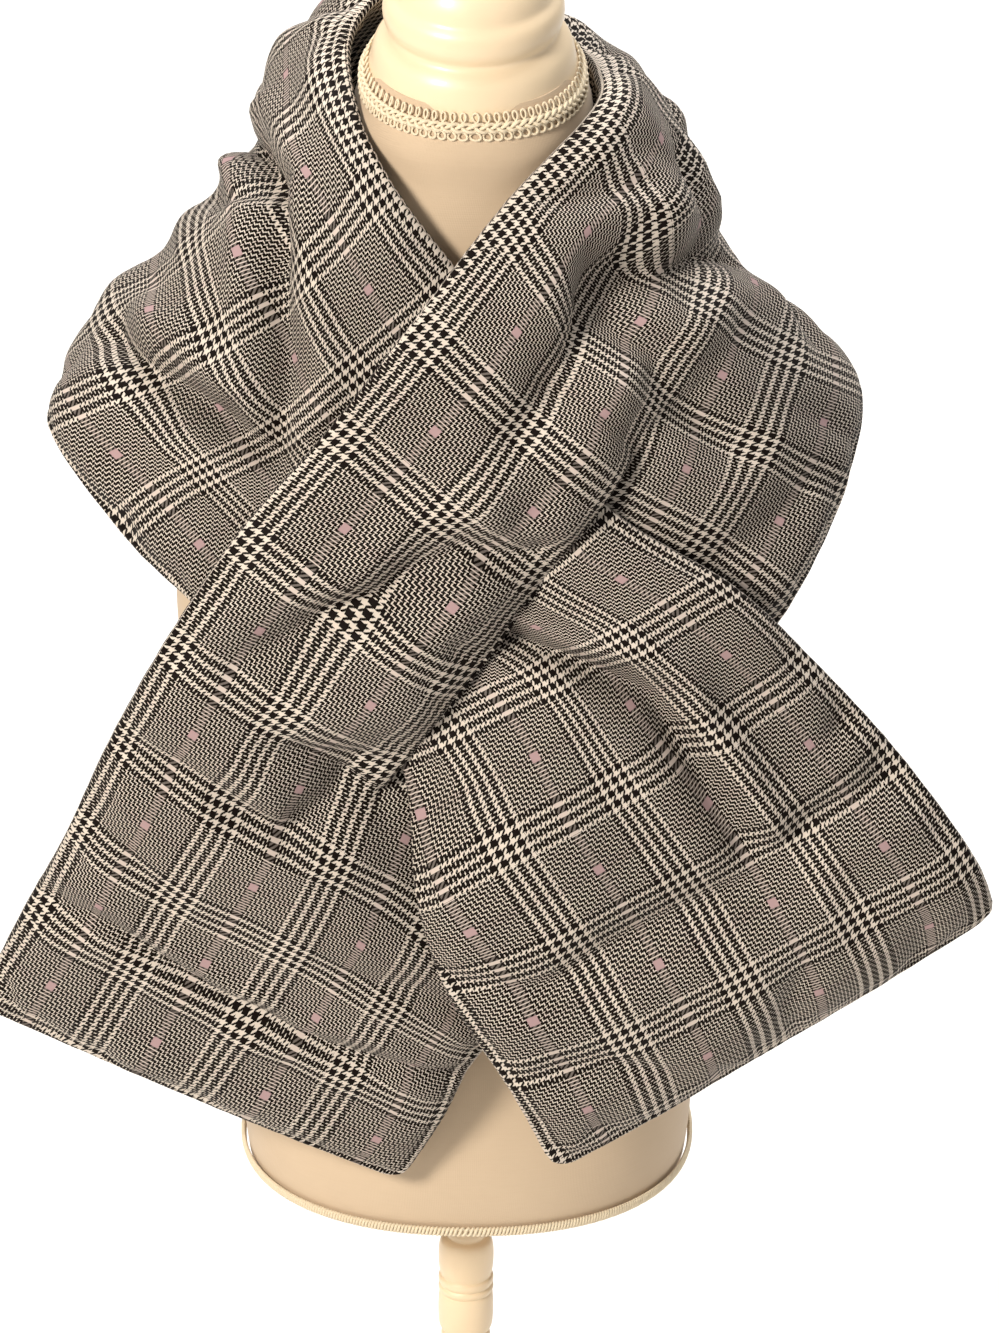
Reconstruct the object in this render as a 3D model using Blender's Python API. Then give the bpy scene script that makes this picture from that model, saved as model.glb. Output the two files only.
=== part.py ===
"""Padded check scarf, pulled through its own slit, on a linen dress form with a turned post and foot.

Metres, +Z up, the front faces -Y. The origin is the centre of the foot's underside.
The scarf's tables are in millimetres from the centre of the neck seam. Along the scarf a place is its
station, counted in repeats of the check from the back of the neck: plus towards the end at the lower
left, minus towards the end at the lower right. Across it runs from 0 at the neck edge to 1 outside.
"""

import math
from typing import NamedTuple

import bmesh
import bpy
import numpy as np
from mathutils import Matrix

MM = 0.001
GAP = 0.0003
SEAM_GAP = 0.0008

# Dress form
NECK_HEIGHT = 0.873
TORSO_BOTTOM = 0.253
NECK_TILT = math.radians(6)
RING_SIDES = 40
RING_POWER = 2.25
SHOULDER_BLEND = 60.0
NECK_BRAID_HEIGHT = 0.013
HEM_BRAID_HEIGHT = 0.008
BRAID_THICKNESS = 0.0028
BRAID_RISE = 0.002
BRAID_CLEARANCE = 0.0005
CAP_STEPS = 40
POST_STEPS = 28
FOOT_STEPS = 48

# Scarf
REPEAT = 66.5
WIDTH = 260.0
EDGE_HALF = 1.2
EDGE_ROLL = 26.0
CORNER_RADIUS = 13.0
SLIT_FROM = 4.85
SLIT_TO = 7.92
SLIT_ACROSS = 0.52
LIP_LIFT = 30.0
LIP_DROP = 8.0
LIP_REACH = 62.0
COLLAR_ENDS = (-2.6, 2.6)
PASS_LINE = (-7.15, -8.05)
LEFT_END = 11.87
RIGHT_END = -11.75


class Ring(NamedTuple):
    """One level of the torso: height from the neck seam, half width, front and back half depth."""

    height: float
    half_width: float
    front: float
    back: float


class Turn(NamedTuple):
    """One point of a turned profile."""

    radius: float
    height: float


class BraidEdge(NamedTuple):
    """One corner of a braid's section: share of its height, share of its thickness."""

    up: float
    out: float


class Section(NamedTuple):
    """One cut across the scarf: both edges, how far the check lines stand off the chord, half thickness."""

    station: float
    inner: tuple
    outer: tuple
    rise: tuple
    puff: float


class Fold(NamedTuple):
    """A trough: where it starts and ends (station, across), its depth and its half width."""

    start: tuple
    end: tuple
    depth: float
    reach: float


TORSO_RINGS = (
    Ring(10, 49.5, 49.5, 49.5),
    Ring(2, 52.6, 52.6, 52.6),
    Ring(-6, 55.5, 55.5, 55.5),
    Ring(-18, 59.6, 57.5, 59),
    Ring(-30, 60, 56, 60),
    Ring(-60, 74, 60, 70),
    Ring(-95, 94, 67, 80),
    Ring(-135, 114, 74, 87),
    Ring(-180, 132, 82, 91),
    Ring(-230, 145, 89, 92),
    Ring(-290, 149, 95, 92),
    Ring(-360, 141, 100, 91),
    Ring(-440, 129, 100, 92),
    Ring(-520, 118.5, 102, 94.5),
    Ring(-602, 115.5, 103, 97),
    Ring(-612, 114, 101.5, 95.5),
    Ring(-620, 102, 90, 85),
)

BRAID_SECTION = (
    BraidEdge(0, 0),
    BraidEdge(0, 0.6),
    BraidEdge(0.25, 1),
    BraidEdge(0.75, 1),
    BraidEdge(1, 0.6),
    BraidEdge(1, 0),
)

CAP_PROFILE = (
    Turn(0, 74),
    Turn(14, 73),
    Turn(26, 69),
    Turn(35, 62),
    Turn(39, 54),
    Turn(39.5, 49),
    Turn(41, 47),
    Turn(44, 44),
    Turn(45.3, 38),
    Turn(44.5, 32),
    Turn(42, 28.5),
    Turn(42.5, 26),
    Turn(46, 24),
    Turn(49.5, 20.5),
    Turn(50.3, 16),
    Turn(49, 12.5),
    Turn(47, 10.6),
    Turn(0, 10.6),
)

POST_PROFILE = (
    Turn(0, 0),
    Turn(17, 0),
    Turn(17.5, -2.2),
    Turn(17, -4),
    Turn(10.5, -6),
    Turn(9, -9.2),
    Turn(8.8, -30.7),
    Turn(9.3, -49.2),
    Turn(9.8, -51.5),
    Turn(10.5, -52.9),
    Turn(10.5, -54.4),
    Turn(9.6, -55.7),
    Turn(12.2, -56.4),
    Turn(13.9, -58.1),
    Turn(14.6, -62.2),
    Turn(14.8, -67.7),
    Turn(14.5, -73.7),
    Turn(13.9, -77.5),
    Turn(13.1, -79.1),
    Turn(14.1, -79.6),
    Turn(14.7, -80.5),
    Turn(14.7, -83.2),
    Turn(14.1, -84.1),
    Turn(13.4, -84.7),
    Turn(14.1, -85.3),
    Turn(14.7, -86.1),
    Turn(14.7, -87.7),
    Turn(14.1, -88.6),
    Turn(13.4, -89.3),
    Turn(14.1, -90.1),
    Turn(14.6, -92.7),
    Turn(14.8, -100.7),
    Turn(14.5, -108.7),
    Turn(13.7, -111.9),
    Turn(12.2, -113.1),
    Turn(11.4, -114.1),
    Turn(13.2, -115.5),
    Turn(13.2, -118.1),
    Turn(11, -119.7),
    Turn(9.7, -131.7),
    Turn(9.3, -147.7),
    Turn(10.3, -167.7),
    Turn(13, -186.7),
    Turn(14.6, -196.7),
    Turn(13.6, -204.2),
    Turn(11.6, -206.7),
    Turn(15.6, -209),
    Turn(16.2, -212.2),
    Turn(13.4, -215.2),
    Turn(14.2, -218.2),
    Turn(18, -222.2),
    Turn(20, -225.2),
    Turn(20, -226.4),
    Turn(0, -226.4),
)

FOOT_PROFILE = (
    Turn(0, 26),
    Turn(26, 26),
    Turn(30, 24.5),
    Turn(34, 20),
    Turn(60, 17),
    Turn(92, 14),
    Turn(106, 12),
    Turn(114, 10),
    Turn(118, 6),
    Turn(118, 2),
    Turn(115, 0),
    Turn(0, 0),
)

LINES = (0.0, 0.29, 0.54, 0.80, 1.0)

SECTIONS = (
    Section(-11.75, (265, -130, -400), (45, -150, -542), (3, 3, 3), 7),
    Section(-11.0, (255, -134, -370), (25, -158, -495), (8, 10, 8), 9),
    Section(-10.0, (215, -124, -314), (-9, -160, -433), (6, 12, 11), 9),
    Section(-9.0, (169, -122, -260), (-25, -158, -380), (9, 13, 10), 9),
    Section(-8.0, (130, -126, -218), (-36, -134, -310), (10, 12, 6), 8),
    Section(-7.0, (65, -115, -177), (-88, -112, -298), (3, 0, 0), 6),
    Section(-6.0, (36, -84, -126), (-128, -112, -247), (2, 3, 3), 6),
    Section(-5.0, (-5, -76, -74), (-172, -72, -221), (3, 7, 11), 7),
    Section(-4.0, (-42, -56, -29), (-210, -24, -184), (2, 2, 2), 9),
    Section(-3.5, (-55, -30, -13), (-204, 3, -185), (4, 3, 3), 9),
    Section(-3.0, (-62, 2, 1), (-201, 28, -186), (3, 5, 7), 9),
    Section(-2.3, (-60, 26, 14), (-173, 62, -183), (10, -5, 3), 9),
    Section(-1.5, (-46, 44, 24), (-128, 94, -178), (26, 13, 6), 9),
    Section(0.0, (0, 66, 22), (0, 114, -180), (18, 16, 8), 9),
    Section(1.5, (53, 47, -7), (125, 95, -182), (18, 6, 1), 9),
    Section(2.3, (62, 14, -5), (153, 71, -184), (7, -7, -5), 9),
    Section(3.0, (61, -25, -4), (190, 36, -184), (3, -11, -8), 9),
    Section(4.0, (16, -70, -38), (188, -36, -204), (12, 8, 7), 9),
    Section(5.0, (-28, -107, -84), (160, -90, -246), (6, 9, 4), 8),
    Section(6.0, (-67, -126, -131), (120, -102, -300), (6, -4, -5), 7),
    Section(7.0, (-113, -140, -184), (84, -108, -358), (12, 0, -5), 7),
    Section(8.0, (-150, -146, -243), (50, -120, -417), (12, 0, -4), 8),
    Section(9.0, (-178, -140, -301), (23, -126, -466), (8, 12, 5), 9),
    Section(10.0, (-201, -130, -360), (3, -128, -492), (4, 6, 4), 9),
    Section(11.0, (-224, -112, -414), (-13, -120, -532), (4, 5, 3), 9),
    Section(11.87, (-250, -96, -478), (-33, -114, -570), (2, 3, 2), 7),
)

FOLDS = (
    Fold((-2.1, 0.41), (-2.9, 0.30), 9, 13),
    Fold((-2.9, 0.30), (-4.1, 0.29), 12, 13),
    Fold((-4.1, 0.29), (-5.2, 0.56), 8, 14),
    Fold((-4.0, 0.78), (-4.8, 0.62), 8, 12),
    Fold((3.7, 0.22), (3.1, 0.36), 12, 15),
    Fold((3.1, 0.36), (2.5, 0.52), 7, 16),
    Fold((3.9, 0.33), (4.3, 0.44), 6, 13),
    Fold((4.9, 0.57), (4.3, 0.64), 6, 15),
    Fold((4.5, 0.80), (4.8, 0.93), 5, 16),
    Fold((6.6, 0.47), (7.0, 0.30), 8, 14),
    Fold((7.0, 0.30), (7.8, 0.12), 6, 15),
    Fold((8.1, 0.50), (8.2, 0.34), 6, 13),
    Fold((9.0, 0.58), (9.0, 0.32), 5, 15),
    Fold((10.8, 0.06), (10.5, 0.50), 7, 15),
    Fold((10.5, 0.50), (10.4, 0.92), 6, 15),
    Fold((-7.7, 0.44), (-8.6, 0.39), 9, 13),
    Fold((-8.6, 0.39), (-10.1, 0.38), 7, 17),
    Fold((-9.95, 0.55), (-9.9, 0.28), 6, 13),
    Fold((-10.2, 0.94), (-10.4, 0.50), 6, 14),
    Fold((-11.3, 0.46), (-11.0, 0.30), 4, 12),
    Fold((-1.9, 0.06), (-1.4, 0.42), 8, 16),
    Fold((-0.5, 0.04), (-0.7, 0.36), 7, 15),
    Fold((0.6, 0.05), (0.9, 0.38), 8, 16),
    Fold((1.7, 0.08), (1.5, 0.40), 6, 15),
    Fold((-1.6, 0.66), (0.2, 0.62), 7, 18),
    Fold((0.4, 0.70), (1.9, 0.74), 6, 17),
)

ROWS_ACROSS = 16
COLLAR_ROWS = 25
LEFT_ROWS = 25
TAIL_ROWS = 22
ROWS_ABOVE_SLIT = 14
ROWS_BESIDE_SLIT = 16
ROWS_BELOW_SLIT = 20

CLOTH_COLOUR = (0.20, 0.17, 0.16)
LINEN_COLOUR = (0.78, 0.68, 0.54)
BRAID_COLOUR = (0.86, 0.80, 0.70)
WHITE_PAINT = (0.88, 0.84, 0.76)


def table(column):
    """Column of the section table as an array, a row for each section."""
    return np.array([getattr(row, column) for row in SECTIONS], float)


STATIONS = table("station")
INNER = table("inner")
OUTER = table("outer")
RISE = np.pad(table("rise"), ((0, 0), (1, 1)))
PUFF = table("puff")


def smooth_through(places, knots, values):
    """Smooth curve through values at knots, read at places; a row of values for each knot."""
    values = np.asarray(values, float)
    if values.ndim == 1:
        values = values[:, None]
    slopes = np.gradient(values, knots, axis=0)
    places = np.clip(places, knots[0], knots[-1])
    k = np.clip(np.searchsorted(knots, places, side="right") - 1, 0, len(knots) - 2)
    span = (np.asarray(knots)[k + 1] - np.asarray(knots)[k])[:, None]
    t = (places - np.asarray(knots)[k])[:, None] / span
    start = (2 * t**3 - 3 * t**2 + 1) * values[k] + (t**3 - 2 * t**2 + t) * span * slopes[k]
    end = (3 * t**2 - 2 * t**3) * values[k + 1] + (t**3 - t**2) * span * slopes[k + 1]
    return start + end


def outward(stations):
    """Unit direction off the show face of each section."""
    step = 0.02
    ahead = sum(smooth_through(stations + step, STATIONS, edge) for edge in (INNER, OUTER))
    behind = sum(smooth_through(stations - step, STATIONS, edge) for edge in (INNER, OUTER))
    chord = smooth_through(stations, STATIONS, OUTER) - smooth_through(stations, STATIONS, INNER)
    normal = np.cross(ahead - behind, chord)
    return normal / np.linalg.norm(normal, axis=1)[:, None]


def rise_of(stations, across):
    """How far the middle of the padding stands off the chord."""
    rows = smooth_through(stations, STATIONS, RISE)
    return np.array([smooth_through(np.array([a]), LINES, row)[0, 0] for a, row in zip(across, rows)])


def trough_of(stations, across):
    """Depth of the folds at each place, tapering towards the ends of each fold."""
    depth = np.zeros(len(stations))
    scale = np.array([REPEAT, WIDTH])
    places = np.stack([stations, across], axis=1) * scale
    for fold in FOLDS:
        start = np.array(fold.start) * scale
        along = np.array(fold.end) * scale - start
        t = np.clip((places - start) @ along / (along @ along), 0, 1)
        away = np.linalg.norm(places - start - t[:, None] * along, axis=1)
        depth += fold.depth * (0.45 + 0.55 * np.sin(math.pi * t)) * np.exp(-((away / fold.reach) ** 2))
    return depth


def slit_distance(stations, across):
    """Distance to the slit, in millimetres along the cloth."""
    past = np.maximum(np.maximum(SLIT_FROM - stations, stations - SLIT_TO), 0) * REPEAT
    return np.hypot(past, (across - SLIT_ACROSS) * WIDTH)


def slit_step(stations, across, side):
    """The half towards the neck edge rides over the other band, the outer half lies under it."""
    t = np.clip((stations - SLIT_FROM) / (SLIT_TO - SLIT_FROM), 0, 1)
    near = np.exp(-(((across - SLIT_ACROSS) * WIDTH / LIP_REACH) ** 2))
    opening = np.maximum(np.sin(math.pi * t), 0) ** 0.6
    return np.where(side < 0, LIP_LIFT, -LIP_DROP) * opening * near


def end_station(across, end):
    """Station of a hem at each place across, drawn back round the corners."""
    edge = np.minimum(across, 1 - across) * WIDTH
    short = np.clip(CORNER_RADIUS - edge, 0, CORNER_RADIUS)
    drop = CORNER_RADIUS - np.sqrt(CORNER_RADIUS**2 - short**2)
    return end - math.copysign(1, end) * drop / REPEAT


def half_thickness(stations, across, slit, hem):
    """Half thickness of the padding, rolling in to each free edge."""
    distance = np.minimum(across, 1 - across) * WIDTH
    if slit:
        distance = np.minimum(distance, slit_distance(stations, across))
    if hem is not None:
        distance = np.minimum(distance, np.abs(end_station(across, hem) - stations) * REPEAT)
    roll = 1 - np.clip(distance / EDGE_ROLL, 0, 1)
    puff = smooth_through(stations, STATIONS, PUFF)[:, 0]
    return EDGE_HALF + (puff - EDGE_HALF) * np.sqrt(1 - roll**2)


def faces_at(stations, across, side, slit, hem):
    """Points of the show face and of the back face, in metres above the floor."""
    inner = smooth_through(stations, STATIONS, INNER)
    outer = smooth_through(stations, STATIONS, OUTER)
    normal = outward(stations)
    stand_off = rise_of(stations, across)
    if slit:
        stand_off = stand_off + slit_step(stations, across, side)
    middle = inner + (outer - inner) * across[:, None] + normal * stand_off[:, None]
    half = half_thickness(stations, across, slit, hem)
    trough = np.minimum(trough_of(stations, across), 1.7 * half)
    lift = np.array([0, 0, NECK_HEIGHT])
    show = (middle + normal * (half - trough)[:, None]) * MM + lift
    back = (middle - normal * (half + 0.5 * trough)[:, None]) * MM + lift
    return show, back


def eased(count):
    """Steps from 0 to 1, closer together near both ends."""
    return 0.5 - 0.5 * np.cos(np.linspace(0, math.pi, count + 1))


def new_object(name, bm, colour, roughness):
    """Object of a bmesh, smooth shaded, with its own plain material."""
    mesh = bpy.data.meshes.new(name)
    bm.to_mesh(mesh)
    bm.free()
    mesh.shade_smooth()
    mesh.set_sharp_from_angle(angle=math.radians(50))
    material = bpy.data.materials.new(name)
    material.use_nodes = True
    shader = material.node_tree.nodes["Principled BSDF"]
    shader.inputs["Base Color"].default_value = (*colour, 1)
    shader.inputs["Roughness"].default_value = roughness
    mesh.materials.append(material)
    obj = bpy.data.objects.new(name, mesh)
    bpy.context.collection.objects.link(obj)
    return obj


def cloth_solid(name, rows, across, slit=False, hem=None):
    """Closed padded solid over a grid; rows holds the stations of each grid line across."""
    split = int(np.argmin(np.abs(across - SLIT_ACROSS))) if slit else None
    bm = bmesh.new()
    grids = {}
    for side in (-1, 1):
        if side == 1 and not slit:
            grids[1] = grids[-1]
            continue
        grids[side] = []
        for stations in rows:
            show, back = faces_at(stations, across, np.full(len(across), side), slit, hem)
            grids[side].append(([bm.verts.new(p) for p in show], [bm.verts.new(p) for p in back]))
    last_row, last_column = len(rows) - 1, len(across) - 1

    def is_open(row):
        return slit and SLIT_FROM < rows[row][split] < SLIT_TO

    def point(row, column, face, side):
        if column < (split or 0) or (slit and column == split and not is_open(row)):
            side = -1
        elif not slit or column > split:
            side = 1
        return grids[side][row][face][column]

    for row in range(last_row):
        for column in range(last_column):
            side = -1 if slit and column < split else 1
            corners = ((row, column), (row, column + 1), (row + 1, column + 1), (row + 1, column))
            bm.faces.new([point(*corner, 0, side) for corner in corners])
            bm.faces.new([point(*corner, 1, side) for corner in reversed(corners)])
    for row in range(last_row):
        lines = [(0, 1, 1), (last_column, -1, 1)]
        if slit and (is_open(row) or is_open(row + 1)):
            lines += [(split, -1, -1), (split, 1, 1)]
        for column, turn, side in lines:
            wall = [point(row, column, 0, side), point(row + 1, column, 0, side)]
            wall += [point(row + 1, column, 1, side), point(row, column, 1, side)]
            bm.faces.new(wall[::turn])
    for row, turn in ((0, -1), (last_row, 1)):
        for column in range(last_column):
            side = -1 if slit and column < split else 1
            wall = [point(row, column, 0, side), point(row, column + 1, 0, side)]
            wall += [point(row, column + 1, 1, side), point(row, column, 1, side)]
            bm.faces.new(wall[::turn])
    loose = [vert for vert in bm.verts if not vert.link_faces]
    bmesh.ops.delete(bm, geom=loose, context="VERTS")
    bmesh.ops.recalc_face_normals(bm, faces=bm.faces)
    new_object(name, bm, CLOTH_COLOUR, 0.75)


def build_scarf():
    """The four stretches that show, with a seam gap between neighbours."""
    plain = eased(ROWS_ACROSS)
    half = eased(ROWS_ACROSS // 2)
    halved = np.concatenate([SLIT_ACROSS * half, SLIT_ACROSS + (1 - SLIT_ACROSS) * half[1:]])
    seam = SEAM_GAP / MM / REPEAT / 2
    ones = np.ones(len(plain))
    passing = PASS_LINE[0] + (PASS_LINE[1] - PASS_LINE[0]) * plain
    quarter_turn = math.pi / 2

    ends = (COLLAR_ENDS[0] + seam, COLLAR_ENDS[1] - seam)
    cloth_solid("scarf_collar", [s * ones for s in np.linspace(*ends, COLLAR_ROWS)], plain)

    start = COLLAR_ENDS[0] - seam
    rows = [(1 - t) * start * ones + t * (passing + seam) for t in np.linspace(0, 1, LEFT_ROWS)]
    cloth_solid("scarf_left_front", rows, plain)

    hem = end_station(plain, RIGHT_END)
    shares = np.sin(np.linspace(0, quarter_turn, TAIL_ROWS))
    rows = [(1 - t) * (passing - seam) + t * hem for t in shares]
    cloth_solid("scarf_through_tail", rows, plain, hem=RIGHT_END)

    hem = end_station(halved, LEFT_END)
    above = np.linspace(COLLAR_ENDS[1] + seam, SLIT_FROM, ROWS_ABOVE_SLIT)
    beside = np.linspace(SLIT_FROM, SLIT_TO, ROWS_BESIDE_SLIT)[1:]
    below = np.sin(np.linspace(0, quarter_turn, ROWS_BELOW_SLIT))[1:]
    rows = [s * np.ones(len(halved)) for s in (*above, *beside)]
    rows += [(1 - t) * SLIT_TO + t * hem for t in below]
    cloth_solid("scarf_right_front", rows, halved, slit=True, hem=LEFT_END)


def oval(ring, sides=RING_SIDES, grow=0.0):
    """Points round one torso level, in metres above the floor."""
    points = []
    for k in range(sides):
        angle = 2 * math.pi * k / sides
        c, s = math.cos(angle), math.sin(angle)
        depth = ring.back if s > 0 else ring.front
        x = math.copysign(abs(c) ** (2 / RING_POWER), c) * (ring.half_width + grow)
        y = math.copysign(abs(s) ** (2 / RING_POWER), s) * (depth + grow)
        points.append((x * MM, y * MM, NECK_HEIGHT + ring.height * MM))
    return points


def neck_level(points, height):
    """Tilts points forwards about the neck seam, fading out below it."""
    share = min(max(1 + height / SHOULDER_BLEND, 0), 1)
    turn = np.array(Matrix.Rotation(NECK_TILT * share, 3, "X"))
    centre = np.array([0, 0, NECK_HEIGHT])
    return [tuple(turn @ (np.array(p) - centre) + centre) for p in points]


def bridge_rings(bm, rings):
    """Joins rings of vertices into a tube and closes both ends."""
    loops = [[bm.verts.new(p) for p in ring] for ring in rings]
    for low, high in zip(loops, loops[1:]):
        count = len(low)
        for k in range(count):
            after = (k + 1) % count
            bm.faces.new((low[k], low[after], high[after], high[k]))
    bm.faces.new(loops[0][::-1])
    bm.faces.new(loops[-1])
    bmesh.ops.recalc_face_normals(bm, faces=bm.faces)


def build_torso():
    """Linen-covered body, as level rings from the bottom up."""
    bm = bmesh.new()
    bridge_rings(bm, [neck_level(oval(ring), ring.height) for ring in reversed(TORSO_RINGS)])
    new_object("torso", bm, LINEN_COLOUR, 0.85)


def band_round(name, low, high, height):
    """Flat closed braid lying on the torso between two of its levels."""
    rings = [np.array(neck_level(oval(ring), ring.height)) for ring in (low, high)]
    up = rings[1] - rings[0]
    up /= np.linalg.norm(up, axis=1)[:, None]
    around = np.roll(rings[0], -1, axis=0) - np.roll(rings[0], 1, axis=0)
    off = np.cross(around, up)
    off /= np.linalg.norm(off, axis=1)[:, None]
    start = rings[0] + up * BRAID_RISE + off * BRAID_CLEARANCE
    bm = bmesh.new()
    loops = []
    for edge in BRAID_SECTION:
        ring = start + up * height * edge.up + off * BRAID_THICKNESS * edge.out
        loops.append([bm.verts.new(point) for point in ring])
    count = len(start)
    for a, b in zip(loops, loops[1:] + loops[:1]):
        for k in range(count):
            after = (k + 1) % count
            bm.faces.new((a[k], a[after], b[after], b[k]))
    bmesh.ops.recalc_face_normals(bm, faces=bm.faces)
    new_object(name, bm, BRAID_COLOUR, 0.7)


def build_braids():
    """Gimp braids: one up the slope of the neck seam, one round the bottom edge."""
    levels = {ring.height: ring for ring in TORSO_RINGS}
    band_round("neck_braid", levels[-6], levels[10], NECK_BRAID_HEIGHT)
    band_round("hem_braid", levels[-612], levels[-602], HEM_BRAID_HEIGHT)


def turned(name, profile, steps, tilt=0.0, height=0.0):
    """Solid turned from a profile that runs from the axis back to the axis."""
    bm = bmesh.new()
    verts = [bm.verts.new((turn.radius * MM, 0, turn.height * MM)) for turn in profile]
    edges = [bm.edges.new(pair) for pair in zip(verts, verts[1:])]
    bmesh.ops.spin(bm, geom=verts + edges, cent=(0, 0, 0), axis=(0, 0, 1), angle=2 * math.pi,
                   steps=steps, use_merge=True, use_duplicate=False)
    bmesh.ops.remove_doubles(bm, verts=bm.verts, dist=0.00001)
    bmesh.ops.recalc_face_normals(bm, faces=bm.faces)
    bmesh.ops.rotate(bm, verts=bm.verts, cent=(0, 0, 0), matrix=Matrix.Rotation(tilt, 3, "X"))
    obj = new_object(name, bm, WHITE_PAINT, 0.35)
    obj.location.z = height


def build_turned_parts():
    """Painted wooden cap, post and foot."""
    turned("neck_cap", CAP_PROFILE, CAP_STEPS, NECK_TILT, NECK_HEIGHT)
    turned("post", POST_PROFILE, POST_STEPS, height=TORSO_BOTTOM - GAP)
    turned("base", FOOT_PROFILE, FOOT_STEPS)


def main():
    for obj in list(bpy.data.objects):
        bpy.data.objects.remove(obj, do_unlink=True)
    build_torso()
    build_braids()
    build_turned_parts()
    build_scarf()


main()
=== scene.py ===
"""Looks of a padded check scarf, pulled through its own slit, on a linen-covered dress form.

Metres, +Z up, the front faces -Y, the origin is the centre of the foot's underside. The scarf is one
piece of padded cloth. A place along it is its station, counted in repeats of the check from the back
of the neck: plus towards the end at the lower left, minus towards the end at the lower right. Across
it runs from 0 at the neck edge to 1 outside. Its tables are in millimetres from the neck seam.
"""

import logging
import math
from dataclasses import dataclass
from enum import Enum
from typing import Any, Callable, NamedTuple, Optional, Sequence, Union

import bmesh
import bpy
import numpy as np
from mathutils import Matrix, Vector

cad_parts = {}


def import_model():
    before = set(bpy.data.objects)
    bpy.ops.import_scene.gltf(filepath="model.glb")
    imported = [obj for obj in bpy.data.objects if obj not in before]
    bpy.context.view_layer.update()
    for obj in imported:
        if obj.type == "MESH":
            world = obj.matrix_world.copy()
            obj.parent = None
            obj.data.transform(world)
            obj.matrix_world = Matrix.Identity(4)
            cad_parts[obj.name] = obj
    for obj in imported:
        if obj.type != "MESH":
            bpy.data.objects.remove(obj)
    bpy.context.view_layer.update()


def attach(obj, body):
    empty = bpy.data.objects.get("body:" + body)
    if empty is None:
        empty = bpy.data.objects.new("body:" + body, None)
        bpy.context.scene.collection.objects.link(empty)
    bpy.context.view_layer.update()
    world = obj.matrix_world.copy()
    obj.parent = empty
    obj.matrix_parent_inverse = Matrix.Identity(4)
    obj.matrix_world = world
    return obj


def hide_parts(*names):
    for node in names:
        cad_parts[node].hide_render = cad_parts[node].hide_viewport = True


MM = 0.001
BODY = "root"
NECK_HEIGHT = 0.873
TORSO_BOTTOM = 0.253
NECK_TILT = math.radians(6)

log = logging.getLogger("scarf")


class Ring(NamedTuple):
    """One level of the torso: height from the neck seam, half width, front and back half depth."""

    height: float
    half_width: float
    front: float
    back: float


class Turn(NamedTuple):
    """One point of a turned profile."""

    radius: float
    height: float


def profile(*points: tuple[float, float]) -> tuple[Turn, ...]:
    """Profile of a turned piece, from the axis back to the axis."""
    return tuple(Turn(*point) for point in points)


class Section(NamedTuple):
    """One cut across the scarf: both edges, how far the check lines stand off the chord, half thickness."""

    station: float
    inner: tuple[float, float, float]
    outer: tuple[float, float, float]
    rise: tuple[float, float, float]
    puff: float


class Crease(NamedTuple):
    """An uneven crease: its depth, its half width, its bulging side, and its path as station and across."""

    depth: float
    reach: float
    bulge: float
    path: tuple[tuple[float, float], ...]


class Slack(NamedTuple):
    """How far the worn cloth is drawn along and across from its even place, at the check lines."""

    station: float
    along: tuple[float, ...]
    across: tuple[float, ...]


TORSO_RINGS = (
    Ring(10, 49.5, 49.5, 49.5),
    Ring(2, 52.6, 52.6, 52.6),
    Ring(-6, 55.5, 55.5, 55.5),
    Ring(-18, 59.6, 57.5, 59),
    Ring(-30, 60, 56, 60),
    Ring(-60, 74, 60, 70),
    Ring(-95, 94, 67, 80),
    Ring(-135, 114, 74, 87),
    Ring(-180, 132, 82, 91),
    Ring(-230, 145, 89, 92),
    Ring(-290, 149, 95, 92),
    Ring(-360, 141, 100, 91),
    Ring(-440, 129, 100, 92),
    Ring(-520, 118.5, 102, 94.5),
    Ring(-602, 115.5, 103, 97),
    Ring(-612, 114, 101.5, 95.5),
    Ring(-620, 102, 90, 85),
)

CAP_PROFILE = profile(
    (0, 74), (14, 73), (26, 69), (35, 62), (39, 54), (39.5, 49), (41, 47), (44, 44), (45.3, 38), (44.5, 32),
    (42, 28.5), (42.5, 26), (45.5, 23.5), (48.3, 20), (49.8, 16), (50.6, 12), (51.4, 8), (52.5, 5),
    (53.1, 3.2), (52.3, 2.8), (49, 9.9), (48, 10.6), (0, 10.6),
)

POST_PROFILE = profile(
    (0, 0), (17, 0), (17.5, -2.2), (17, -4), (10.5, -6), (9, -9.2), (8.8, -30.7), (9.3, -49.2),
    (9.8, -51.5), (10.5, -52.9), (10.5, -54.4), (9.6, -55.7), (12.2, -56.4), (13.9, -58.1), (14.6, -62.2),
    (14.8, -67.7), (14.5, -73.7), (13.9, -77.5), (13.1, -79.1), (14.1, -79.6), (14.7, -80.5), (14.7, -83.2),
    (14.1, -84.1), (13.4, -84.7), (14.1, -85.3), (14.7, -86.1), (14.7, -87.7), (14.1, -88.6), (13.4, -89.3),
    (14.1, -90.1), (14.6, -92.7), (14.8, -100.7), (14.5, -108.7), (13.7, -111.9), (12.2, -113.1),
    (11.4, -114.1), (13.2, -115.5), (13.2, -118.1), (11, -119.7), (9.7, -131.7), (9.3, -147.7),
    (10.3, -167.7), (13, -186.7), (14.6, -196.7), (13.6, -204.2), (11.6, -206.7), (15.6, -209),
    (16.2, -212.2), (13.4, -215.2), (14.2, -218.2), (18, -222.2), (20, -225.2), (20, -226.4), (0, -226.4),
)

FOOT_PROFILE = profile(
    (0, 26), (26, 26), (30, 24.5), (34, 20), (60, 17), (92, 14), (106, 12), (114, 10), (118, 6), (118, 2),
    (115, 0), (0, 0),
)


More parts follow.
